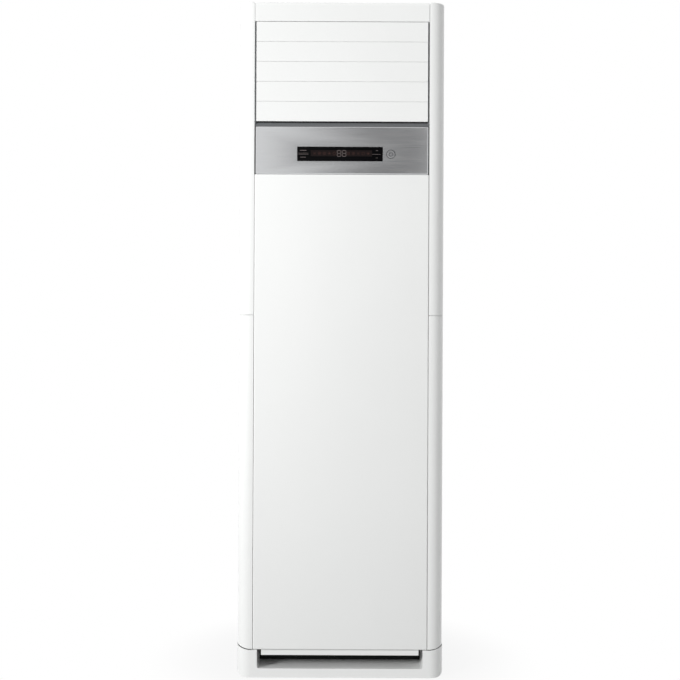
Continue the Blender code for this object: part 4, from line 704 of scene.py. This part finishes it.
inner, shoulder = edge - fit, cabinet["columnBack"] + fit
rearFace = 0.1977
bend = cabinet["rearCorner"]
rearBend = arcPoints((side - bend, rearFace - bend), bend, 0, 90, 12)
right = [(inner, trim["back"] + fit), (inner, shoulder), (side, shoulder)] + rearBend
lid = made("top_cover_look", (addPlate, [bothSides(right)], "Z", trim["top"] - trim["wall"], trim["top"]))
softenEdges(lid, 0.0007)
dress(lid, "top_cover")


# Rear panels: folded steel with pressed beads, a round hole for the pipes, and screws
print("rear")
rear = {"sheet": 0.0012, "top": 1.8572, "pipe": (0.215, 0.172), "pipeHole": 0.034, "drill": (0.18, 0.21),
        "beadWidth": 0.006, "beadHeight": 0.0010, "beadPitch": 0.13, "beadHalf": 0.20, "beadX": 0.23,
        "sunk": 0.0001}
path = bothSides([(side, shoulder)] + rearBend + [(edge, rearFace)])
lowerRear = bentSheet("lower_rear", path, lambda p: rimHeight(p) + fit, splitLow, rear["sheet"])
x, z = rear["pipe"]
cut(lowerRear, addRod, *((x, y, z) for y in rear["drill"]), rear["pipeHole"], 64)
upperRear = bentSheet("upper_rear", path, splitHigh, rear["top"], rear["sheet"])


def addBead(bm, start, end):
    # a half-round pressed bead on the rear face, between two points (x, z)
    half, steps = rear["beadWidth"] / 2, 8
    start, end = Vector(start), Vector(end)
    ahead = (end - start).normalized()
    aside = Vector((-ahead.y, ahead.x))
    rows = []
    for angle in (math.pi * i / steps for i in range(steps + 1)):
        lift, off, run = rear["beadHeight"] * math.sin(angle), half * math.cos(angle), half * math.sin(angle)
        row = []
        for point, way in ((start, -1), (start, 0), (end, 0), (end, 1)):
            spot = point + aside * off + ahead * (run * way)
            row.append(bm.verts.new((spot.x, rearFace - rear["sunk"] + (lift if way == 0 else 0.0), spot.y)))
        rows.append(row)
    for near, far in zip(rows, rows[1:]):
        for i in range(3):
            bm.faces.new((near[i], near[i + 1], far[i + 1], far[i]))


for panel, node, first, count, foot, head in ((lowerRear, "rear_panel_lower", 0.40, 4, 0.30, 0.93),
                                              (upperRear, "rear_panel_upper", 1.10, 5, 1.06, 1.74)):
    softenEdges(panel, 0.0003)
    bm = bmesh.new()
    for z in (first + rear["beadPitch"] * i for i in range(count)):
        addBead(bm, (-rear["beadHalf"], z), (rear["beadHalf"], z))
    for x in (-rear["beadX"], rear["beadX"]):
        addBead(bm, (x, foot), (x, head))
    bmesh.ops.remove_doubles(bm, verts=bm.verts, dist=1e-6)
    bmesh.ops.recalc_face_normals(bm, faces=bm.faces)
    if any(item.calc_center_median().y > rearFace and item.normal.y < 0 for item in bm.faces):
        bmesh.ops.reverse_faces(bm, faces=bm.faces)
    bm.from_mesh(panel.data)
    bm.to_mesh(panel.data)
    bm.free()
    dress(smoothed(panel, 35), node)


# Repeats: one piece is copied along a line, turning as it goes, or set on points
def startTree(name, inputs):
    tree = bpy.data.node_groups.new(name, "GeometryNodeTree")
    for label, kind in (("Geometry", "Geometry"), *inputs, ("Finish", "Material")):
        tree.interface.new_socket(label, in_out="INPUT", socket_type="NodeSocket" + kind)
    tree.interface.new_socket("Geometry", in_out="OUTPUT", socket_type="NodeSocketGeometry")
    return tree, addNode(tree, "NodeGroupInput").outputs


def endTree(tree, given, points, piece, turn):
    # copies of the piece on the points, turned, made real and given their finish
    angle = addNode(tree, "FunctionNodeEulerToRotation", {0: turn})
    copies = addNode(tree, "GeometryNodeInstanceOnPoints", {
        "Points": points, "Instance": piece, "Rotation": angle.outputs[0]})
    real = addNode(tree, "GeometryNodeRealizeInstances", {0: copies.outputs[0]})
    done = addNode(tree, "GeometryNodeSetMaterial", {
        "Geometry": real.outputs[0], "Material": given["Finish"]})
    addNode(tree, "NodeGroupOutput", {0: done.outputs[0]})
    return tree


tree, given = startTree("repeatAlong", (
    ("Count", "Int"), ("Start", "Vector"), ("Step", "Vector"), ("Turn", "Vector")))
line = addNode(tree, "GeometryNodeMeshLine", {
    "Count": given["Count"], "Start Location": given["Start"], "Offset": given["Step"]}, mode="OFFSET")
order = addNode(tree, "GeometryNodeInputIndex")
turned = addNode(tree, "ShaderNodeVectorMath", {0: given["Turn"], "Scale": order.outputs[0]},
                 operation="SCALE")
repeatAlong = endTree(tree, given, line.outputs[0], given["Geometry"], turned.outputs[0])
tree, given = startTree("setOnPoints", (("Fixing", "Object"), ("Facing", "Vector")))
held = addNode(tree, "GeometryNodeObjectInfo", {"Object": given["Fixing"]})
setOnPoints = endTree(tree, given, given["Geometry"], held.outputs["Geometry"], given["Facing"])


def grow(obj, tree, inputs):
    # runs a tree on a piece and keeps what it makes as a plain mesh
    sockets = {item.name: item.identifier for item in tree.interface.items_tree if item.in_out == "INPUT"}
    modifier = obj.modifiers.new(tree.name, "NODES")
    modifier.node_group = tree
    for label, value in inputs.items():
        modifier[sockets[label]] = value
    obj.update_tag()
    return bake(obj)


def repeated(obj, count, start, step, finish, turn=(0.0, 0.0, 0.0)):
    inputs = {"Count": count, "Start": start, "Step": step, "Turn": turn, "Finish": finish}
    return grow(obj, repeatAlong, inputs)


# Screws: pan heads with a cross recess, seated on their sheet and facing out along +Z
print("screws")
screw = {"radius": 0.0034, "height": 0.0017, "recess": 0.0019, "slot": 0.0007, "recessDepth": 0.0009,
         "seat": -0.0002, "sides": 24}
r, tall, slot = screw["radius"], screw["height"], screw["slot"]
turns = [math.radians(degrees) for degrees in (20, 40, 60, 78, 90)]
profile = [(0.0, tall)] + [(r * math.sin(a), tall * (0.35 + 0.65 * math.cos(a))) for a in turns]
profile += [(r, screw["seat"]), (0.0, screw["seat"])]
bm = bmesh.new()
verts = [bm.verts.new((radius, 0, z)) for radius, z in profile]
edges = [bm.edges.new(pair) for pair in zip(verts, verts[1:])]
bmesh.ops.spin(bm, geom=verts + edges, cent=(0, 0, 0), axis=(0, 0, 1), angle=2 * math.pi,
               steps=screw["sides"], use_merge=True)
bmesh.ops.remove_doubles(bm, verts=bm.verts, dist=1e-6)
screwHead = asObject("screw_head", bm)
for x, y in ((screw["recess"], slot / 2), (slot / 2, screw["recess"])):
    cut(screwHead, addBlock, (-x, -y, tall - screw["recessDepth"]), (x, y, tall + 0.001))
smoothed(screwHead, 40)


def around(radius, count, first, y, z):
    # spots on a circle that faces front
    turns = [first + 2 * math.pi / count * i for i in range(count)]
    return [(radius * math.cos(a), y, z + radius * math.sin(a)) for a in turns]


blowerZ = 0.560
fixing = {"rearX": (-0.258, 0.258), "rearZ": (0.110, 0.395, 0.685, 0.975, 1.025, 1.30, 1.57, 1.835),
          "midX": (-0.09, 0.09), "midZ": (0.110, 0.975, 1.025), "boxX": (-0.182, 0.022), "boxY": 0.1147,
          "boxZ": (0.128, 0.292), "motor": (0.0625, 4, math.pi / 4, 0.1118), "ring": (0.1265, 6, 0, -0.0615),
          "clamps": 6, "clamp": (-0.154, 0.1707, 0.1625), "clampPitch": 0.0116}
rearSpots = [(x, rearFace, z) for xs, zs in (("rearX", "rearZ"), ("midX", "midZ"))
             for x in fixing[xs] for z in fixing[zs]]
boxSpots = [(x, fixing["boxY"], z) for x in fixing["boxX"] for z in fixing["boxZ"]]
x, y, z = fixing["clamp"]
clampSpots = [(x + fixing["clampPitch"] * i, y, z) for i in range(fixing["clamps"])]
toBack, toFront = (-math.pi / 2, 0, 0), (math.pi / 2, 0, 0)
for name, spots, facing in (
        ("rear_screws", rearSpots, toBack),
        ("box_screws", boxSpots, toFront),
        ("motor_screws", around(*fixing["motor"], blowerZ), toBack),
        ("ring_screws", around(*fixing["ring"], blowerZ), toFront),
        ("terminal_screws", clampSpots, toFront)):
    mesh = bpy.data.meshes.new(name)
    mesh.from_pydata(spots, [], [])
    screws = grow(linked(name, mesh), setOnPoints,
                  {"Fixing": screwHead, "Facing": facing, "Finish": finishOf["zinc_steel"]})
    dress(screws, slot="zinc_steel")
bpy.data.objects.remove(screwHead, do_unlink=True)


# Side intakes: a rim, fine slats with a sloped face, and upright ribs behind them; then the filters
print("intakes")
intake = {"inner": 0.2805, "outer": 0.2835, "yLow": -0.1294, "yHigh": 0.0285, "zLow": 0.1276, "zHigh": 0.8834,
          "rim": 0.009, "slats": 84, "slatTall": 0.0042, "slatEdge": 0.0012,
          "slatFront": 0.0002, "slatBack": 0.0004, "ribY": (-0.090, -0.0505, -0.011), "rib": 0.0022,
          "ribDepth": 0.0016, "sunk": 0.0005}
near, far, rimIn, sunk = intake["inner"], intake["outer"], intake["rim"], intake["sunk"]
yLow, yHigh, zLow, zHigh = (intake[key] for key in ("yLow", "yHigh", "zLow", "zHigh"))
outlines = [rect((yLow + inset, zLow + inset), (yHigh - inset, zHigh - inset)) for inset in (0, rimIn)]
rimPiece = made("grille_rim", (addPlate, outlines, "X", near, far))
softenEdges(rimPiece, 0.0006)
# seen along Y: a blade whose outer face slopes down and out, so that rain and fingers meet its face
tall, lip = intake["slatTall"] / 2, intake["slatEdge"]
outside, inside = far - intake["slatFront"], near + intake["slatBack"]
outline = [(outside, -tall), (outside, -tall + lip), (inside, tall), (inside, tall - lip)]
blade = made("grille_slats", (addPlate, [outline], "Y", yLow + rimIn - sunk, yHigh - rimIn + sunk))
pitch = (zHigh - zLow - 2 * rimIn) / intake["slats"]
repeated(blade, intake["slats"], (0, 0, zLow + rimIn + pitch / 2), (0, 0, pitch), finishOf["white_abs"])
half = intake["rib"] / 2
ribs = made("grille_ribs", *((addBlock, (near, y - half, zLow + rimIn - sunk),
                              (near + intake["ribDepth"], y + half, zHigh - rimIn + sunk))
                             for y in intake["ribY"]))
dressPair(smoothed(joined("grille_right", rimPiece, blade, ribs)), "grille", "intake_grille")

screen = {"inner": 0.2752, "outer": 0.2802, "yLow": -0.1234, "yHigh": 0.0165, "zLow": 0.1336, "zHigh": 0.8774,
          "rim": 0.007, "rows": 6, "rib": 0.003, "wire": 0.00035, "pitch": 0.0028, "sunk": 0.001}
rimIn, wire, pitch, sunk = screen["rim"], screen["wire"], screen["pitch"], screen["sunk"]
yLow, yHigh, zLow, zHigh = (screen[key] for key in ("yLow", "yHigh", "zLow", "zHigh"))
outlines = [rect((yLow, zLow), (yHigh, zHigh))]
rowTall = (zHigh - zLow - 2 * rimIn) / screen["rows"]
half = screen["rib"] / 2
for z in (zLow + rimIn + i * rowTall for i in range(screen["rows"])):
    outlines.append(rect((yLow + rimIn, z + half), (yHigh - rimIn, z + rowTall - half)))
frameOfFilter = made("filter_frame", (addPlate, outlines, "X", screen["inner"], screen["outer"]))
softenEdges(frameOfFilter, 0.0005)
x = (screen["inner"] + screen["outer"]) / 2
yLow, yHigh, zLow, zHigh = yLow + rimIn, yHigh - rimIn, zLow + rimIn, zHigh - rimIn
weft = made("filter_weft", (addRod, (x, yLow - sunk, 0), (x, yHigh + sunk, 0), wire / 2, 4))
repeated(weft, int((zHigh - zLow) / pitch), (0, 0, zLow + pitch / 2), (0, 0, pitch), finishOf["filter_mesh"])
x += wire
warp = made("filter_warp", (addRod, (x, 0, zLow - sunk), (x, 0, zHigh + sunk), wire / 2, 4))
repeated(warp, int((yHigh - yLow) / pitch), (0, yLow + pitch / 2, 0), (0, pitch, 0), finishOf["filter_mesh"])
dressPair(smoothed(joined("filter_cassette_right", frameOfFilter, weft, warp)), "filter_cassette", "filter")


# Outlet frame, vanes, linkages and motors keep their CAD shape, with moulded or folded edges
print("inner pieces")
edgeOf = {
    "outlet_frame": 0.0004, "vane_tie_bar": 0.0003, "louvre_tie_bar": 0.0003, "drive_arm": 0.0003,
    "louvre_motor": 0.0004, "vane_motor": 0.0004, "wall_bracket": 0.0003, "mid_shelf": 0.0003,
    "electrical_box": 0.0003, "electrical_cover": 0.0003, "terminal_block": 0.0003, "drip_tray": 0.0004,
    "air_duct": 0.0015, "scroll_housing": 0.0003, "display_board": 0.0002,
}
edgeOf.update({f"vane_{i}": 0.0004 for i in range(1, 7)})
edgeOf.update({f"louvre_crank_{i}": 0.0003 for i in range(1, 6)})
for node, width in edgeOf.items():
    dress(smoothed(softenEdges(copyNode(node), width, 2, 40), 40), node)

# the two-digit display module, the cable's socket, and the lamps behind the icons
boardY, lampX, lampFront, lampZ = -0.1897, 0.0016, -0.1915, (1.4425, 1.4445)
blocks = [((-0.0165, -0.1952, 1.4330), (0.0147, boardY, 1.4540)),
          ((0.070, -0.1935, 1.4290), (0.094, boardY, 1.4350))]
blocks += [((x - lampX, lampFront, lampZ[0]), (x + lampX, boardY, lampZ[1])) for _, _, x in iconSpots]
modules = made("display_modules", *((addBlock, *corners) for corners in blocks))
softenEdges(modules, 0.0003)
dress(modules, slot="black_plastic")


# Fan: a disc with its hub, a front ring, and forward-swept blades set round the rim
print("fan")
fan = {"bore": 0.0043, "hub": 0.015, "hubFront": 0.072, "disc": 0.090, "back": 0.092, "rim": 0.135,
       "ring": 0.126, "front": -0.052, "ringBack": -0.050, "edge": 0.0005, "bladeIn": 0.119,
       "bladeOut": 0.1343, "sweep": 7, "wall": 0.0014, "blades": 32, "steps": 96}
centre, steps = (0.0, blowerZ), fan["steps"]
bore, hub, disc, fanBack, rim, ring = (fan[key] for key in ("bore", "hub", "disc", "back", "rim", "ring"))
fanFront, ringBack, bend = fan["front"], fan["ringBack"], fan["edge"]
discPiece = turnedPiece("fan_disc", [
    (bore, fanBack), (rim - bend, fanBack), (rim, fanBack - bend), (rim, disc), (hub + 0.004, disc),
    (hub + 0.001, disc - 0.001), (hub, disc - 0.004), (hub, fan["hubFront"] + 0.001),
    (hub - 0.001, fan["hubFront"]), (bore, fan["hubFront"])], centre, steps)
ringPiece = turnedPiece("fan_ring", [
    (rim, fanFront), (rim, ringBack), (ring + bend, ringBack), (ring, ringBack - bend),
    (ring, fanFront + bend), (ring + bend, fanFront)], centre, steps)
lead, trail = [], []
for share in (i / 6 for i in range(7)):
    radius = fan["bladeIn"] + (fan["bladeOut"] - fan["bladeIn"]) * share
    half = fan["wall"] / 2 * (0.55 + 0.45 * math.sin(math.pi * min(1.0, share + 0.15))) / radius
    for sign, points in ((half, lead), (-half, trail)):
        angle = math.radians(fan["sweep"]) * share * share + sign
        points.append((radius * math.cos(angle), radius * math.sin(angle)))
blade = made("fan_blades", (addPlate, [lead + trail[::-1]], "Y", ringBack - 0.001, fanBack - 0.001))
turn = (0, 2 * math.pi / fan["blades"], 0)
repeated(blade, fan["blades"], (0, 0, 0), (0, 0, 0), finishOf["grey_nylon"], turn)
blade.data.transform(Matrix.Translation((0, 0, blowerZ)))
dress(smoothed(joined("fan_wheel_moulded", discPiece, ringPiece, blade), 40), "fan_wheel")
dress(softenEdges(copyNode("fan_nut"), 0.0004, 2, 40), "fan_nut")
dress(smoothed(copyNode("fan_shaft"), 50), "fan_shaft")

# Motor: a pressed flange, a drawn can in two halves with a crimped seam, and a domed end
motor = {"seat": 0.1103, "flange": 0.1118, "flangeRadius": 0.070, "radius": 0.055, "end": 0.1743,
         "socket": 0.0044, "socketEnd": 0.1426, "edge": 0.0045, "seam": 0.140, "neck": 0.0006,
         "dimple": 0.0008, "cap": 0.020}
r, seam, end, bend, dimple = (motor[key] for key in ("radius", "seam", "end", "edge", "dimple"))
neck = r - motor["neck"]
profile = [(0.0, motor["socketEnd"]), (motor["socket"], motor["socketEnd"]), (motor["socket"], motor["seat"]),
           (motor["flangeRadius"], motor["seat"]), (motor["flangeRadius"], motor["flange"]),
           (r + 0.001, motor["flange"]), (neck, motor["flange"] + 0.0015), (neck, seam - 0.003),
           (r, seam - 0.0022), (r, seam - 0.0004), (r - dimple, seam), (r, seam + 0.0004), (r, seam + 0.0022),
           (neck, seam + 0.003)]
profile += arcPoints((neck - bend, end - bend), bend, 0, 90, 6)
profile += [(motor["cap"], end), (motor["cap"] - 0.001, end - dimple), (0.0, end - dimple)]
dress(smoothed(turnedPiece("fan_motor_can", profile, centre, steps), 35), "fan_motor")

bellProfile = [(0.133, -0.0615), (0.133, -0.0603), (0.1184, -0.0603), (0.1168, -0.0590),
               (0.1144, -0.0463), (0.1132, -0.0463), (0.1150, -0.0590), (0.1162, -0.0608), (0.1176, -0.0615)]
dress(smoothed(turnedPiece("inlet_bell", bellProfile, centre, steps), 40), "inlet_ring")


# Coil: a fin pack between end plates, with its hairpin bends, header and stubs, leaning back
print("coil")
coil = {"foot": (0.0, -0.008, 0.96973), "lean": -19.45, "low": -0.2175, "pitch": 0.0016, "count": 254,
        "half": 0.022, "length": 0.450, "fin": 0.00015, "right": 0.1891, "row": 0.0140, "tube": 0.0035,
        "tubePitch": 0.025, "bends": 9, "headerX": 0.205, "header": 0.008, "stub": 0.004, "stubs": 6}
leaning = Matrix.Translation(coil["foot"]) @ Matrix.Rotation(math.radians(coil["lean"]), 4, "X")


def addTube(bm, points, radius, bend, sides, steps):
    # a round tube along straight runs, turned at each corner with the bend's radius
    line = [Vector(points[0])]
    for before, corner, after in zip(points, points[1:], points[2:]):
        corner = Vector(corner)
        near, far = (Vector(before) - corner).normalized(), (Vector(after) - corner).normalized()
        half = near.angle(far) / 2
        centre = corner + (near + far).normalized() * (bend / math.sin(half))
        start, end = ((corner + way * (bend / math.tan(half)) - centre).normalized() for way in (near, far))
        line += [centre + start.slerp(end, i / steps) * bend for i in range(steps + 1)]
    line.append(Vector(points[-1]))
    side = (line[1] - line[0]).orthogonal().normalized()
    turns = [2 * math.pi * k / sides for k in range(sides)]
    hoops = []
    for i, spot in enumerate(line):
        ahead = (line[min(i + 1, len(line) - 1)] - line[max(i - 1, 0)]).normalized()
        side = (side - ahead * side.dot(ahead)).normalized()
        other = ahead.cross(side)
        hoops.append([bm.verts.new(spot + (side * math.cos(a) + other * math.sin(a)) * radius)
                      for a in turns])
    for near, far in zip(hoops, hoops[1:]):
        for k in range(sides):
            bm.faces.new((near[k], near[(k + 1) % sides], far[(k + 1) % sides], far[k]))
    bm.faces.new(hoops[0][::-1])
    bm.faces.new(hoops[-1])


finHalf, coilHalf, length, right = coil["fin"] / 2, coil["half"], coil["length"], coil["right"]
fins = made("fin_pack", (addBlock, (-finHalf, -coilHalf, 0.0), (finHalf, coilHalf, length)))
repeated(fins, coil["count"], (coil["low"], 0, 0), (coil["pitch"], 0, 0), finishOf["coil_aluminium"])
fins.data.transform(leaning)
dress(fins, "coil_fins")
for node in ("coil_end_plate_left", "coil_end_plate_right"):
    dress(softenEdges(copyNode(node), 0.0003, 2, 40), node)

x, tube = coil["headerX"], coil["header"]
header = made("header_tube", (addRod, (x, 0, tube), (x, 0, length - tube), tube, 32))
softenEdges(header, 0.0025, 4, 50)
heights = [length * (i + 0.5) / coil["stubs"] for i in range(coil["stubs"])]
stubs = made("header_stubs", *((addRod, (right + 0.0002, 0, z), (x - 0.004, 0, z), coil["stub"], 20)
                               for z in heights))
header = joined("header_brazed", header, stubs)
header.data.transform(leaning)
dress(smoothed(header, 50), "coil_header")

pitch = coil["tubePitch"]
x = right + pitch / 2
bm = bmesh.new()
for y in (-coil["row"], coil["row"]):
    for low in (pitch * (2 * i + 0.5) for i in range(coil["bends"])):
        points = [(right, y, low), (x, y, low), (x, y, low + pitch), (right, y, low + pitch)]
        addTube(bm, points, coil["tube"], pitch / 2 - 0.0003, 16, 8)
bends = asObject("coil_return_bends", bm)
bends.data.transform(leaning)
dress(smoothed(bends, 50), slot="copper_tube")

# Pipes: from the header out, down beside the duct, and back through the rear panel's hole
pipes = {"start": 0.2133, "outX": 0.256, "exitX": 0.215, "exitY": 0.1965, "bend": 0.019,
         "gas": (0.008, 0.100, 0.157), "liquid": (0.005, 0.160, 0.187)}   # radius, height on the coil, exit
outX, exitX = pipes["outX"], pipes["exitX"]
for kind in ("gas", "liquid"):
    radius, along, exitZ = pipes[kind]
    start = leaning @ Vector((pipes["start"], 0.0, along))
    _, y, z = start
    points = [start, (outX, y, z), (outX, y, exitZ), (exitX, y, exitZ), (exitX, pipes["exitY"], exitZ)]
    pipe = made(kind + "_pipe_bent", (addTube, points, radius, pipes["bend"], 24, 10))
    dress(smoothed(pipe, 50), kind + "_pipe")


print("studio")
studio = {
    "floorHalf": 12.0, "floorTone": "a8a8a8", "floorRough": 0.9, "contactShare": 0.90, "shadowStart": 0.30,
    "shadowReach": 0.60, "worldDiffuse": 0.44, "keyWatts": 60.5, "keyPlace": (-4.7, -4.4, 2.6),
    "keyAim": (0.0, 0.0, 1.45), "fillWatts": 8.5, "fillPlace": (5.2, -1.4, 1.8), "fillAim": (0.0, 0.0, 1.0),
    "boxSize": 1.8, "boxSpread": 70, "cardY": -5.0, "cardHalf": 1.6, "cardFoot": -0.2, "cardTop": 4.6,
    "cardChange": 0.62, "cardDark": 0.05, "cardGain": 0.95, "cardFall": 0.05,
    "lens": 57.7, "sensor": 36.0, "viewFrom": (-0.003, -3.2, 0.9299), "viewRoll": -0.25,
}
pureWhite = (1, 1, 1, 1)


def directRay(tree):
    # 1 for what the camera sees straight, in a mirror or through glass, and 0 for diffuse light
    seen = addNode(tree, "ShaderNodeLightPath").outputs
    direct = seen["Is Camera Ray"]
    for kind in ("Is Glossy Ray", "Is Transmission Ray"):
        direct = addNode(tree, "ShaderNodeMath", {0: direct, 1: seen[kind]}, operation="MAXIMUM").outputs[0]
    return direct


def stagePiece(name, corners, finish):
    # a flat piece of the studio with a node material to be filled in
    bm = bmesh.new()
    bm.faces.new([bm.verts.new(corner) for corner in corners])
    piece = asObject(name, bm, turnOut=False)
    material = bpy.data.materials.new(finish)
    material.use_nodes = True
    piece.data.materials.append(material)
    tree = material.node_tree
    spot = addNode(tree, "ShaderNodeTexCoord").outputs["Object"]
    return piece, tree, spot, tree.nodes["Principled BSDF"], tree.nodes["Material Output"].inputs["Surface"]


# Floor: pale paper that runs out to pure white, with a soft shadow close to the base
reach = studio["floorHalf"]
floor, tree, spot, shader, surface = stagePiece(
    "studio_floor", [(x * reach, y * reach, 0.0) for x, y in ((-1, -1), (1, -1), (1, 1), (-1, 1))], "palePaper")
shader.inputs["Base Color"].default_value = toLinear(studio["floorTone"])
shader.inputs["Roughness"].default_value = studio["floorRough"]
away = addNode(tree, "ShaderNodeVectorMath", {0: spot}, operation="LENGTH")
fade = addNode(tree, "ShaderNodeMapRange", {0: away.outputs["Value"], 1: studio["shadowStart"],
                                            2: studio["shadowReach"], 3: studio["contactShare"], 4: 1.0},
               interpolation_type="SMOOTHSTEP")
share = addNode(tree, "ShaderNodeMath", {0: directRay(tree), 1: fade.outputs[0]}, operation="MULTIPLY")
white = addNode(tree, "ShaderNodeEmission", {"Color": pureWhite, "Strength": 1.0})
addNode(tree, "ShaderNodeMixShader", {0: share.outputs[0], 1: shader.outputs[0], 2: white.outputs[0]},
        to=surface)

# Card behind the camera, bright on the left and dark on the right, that the brushed panel reflects
corners = [(x * studio["cardHalf"], studio["cardY"], studio[level]) for x, level in (
    (-1, "cardFoot"), (1, "cardFoot"), (1, "cardTop"), (-1, "cardTop"))]
card, tree, spot, shader, surface = stagePiece("studio_card", corners, "gradedCard")
tree.nodes.remove(shader)
across = addNode(tree, "ShaderNodeSeparateXYZ", {0: spot}).outputs["X"]
across = addNode(tree, "ShaderNodeMapRange", {0: across, 1: -studio["cardChange"], 2: studio["cardChange"]})
fall = addNode(tree, "ShaderNodeMath", {0: studio["cardFall"], 1: across.outputs[0]}, operation="POWER")
level = addNode(tree, "ShaderNodeMath", {0: fall.outputs[0], 1: studio["cardGain"], 2: studio["cardDark"]},
                operation="MULTIPLY_ADD")
addNode(tree, "ShaderNodeEmission", {"Color": pureWhite, "Strength": level.outputs[0]}, to=surface)
card.visible_camera = card.visible_diffuse = card.visible_shadow = card.visible_transmission = False

world = bpy.data.worlds.new("studio")
bpy.context.scene.world = world
world.use_nodes = True
tree = world.node_tree
background = tree.nodes["Background"]
background.inputs["Color"].default_value = pureWhite
addNode(tree, "ShaderNodeMapRange", {0: directRay(tree), 3: studio["worldDiffuse"], 4: 1.0},
        to=background.inputs["Strength"])

for name in ("key", "fill"):   # a softbox on the left, and a weak one on the right that lifts the far column
    lamp = bpy.data.lights.new(name + "_softbox", "AREA")
    lamp.shape, lamp.energy, lamp.size = "SQUARE", studio[name + "Watts"], studio["boxSize"]
    lamp.spread = math.radians(studio["boxSpread"])   # falls off towards the floor
    box = linked(name + "_softbox", lamp)
    box.location = studio[name + "Place"]
    box.rotation_euler = (Vector(studio[name + "Aim"]) - box.location).to_track_quat("-Z", "Y").to_euler()
    box.visible_glossy = False

camera = bpy.data.cameras.new("camera")
camera.lens, camera.sensor_width = studio["lens"], studio["sensor"]
viewer = linked("camera", camera)
viewer.location = studio["viewFrom"]
viewer.rotation_euler = (math.pi / 2, math.radians(studio["viewRoll"]), 0.0)
bpy.context.scene.camera = viewer
bpy.context.scene.view_settings.view_transform = "Standard"
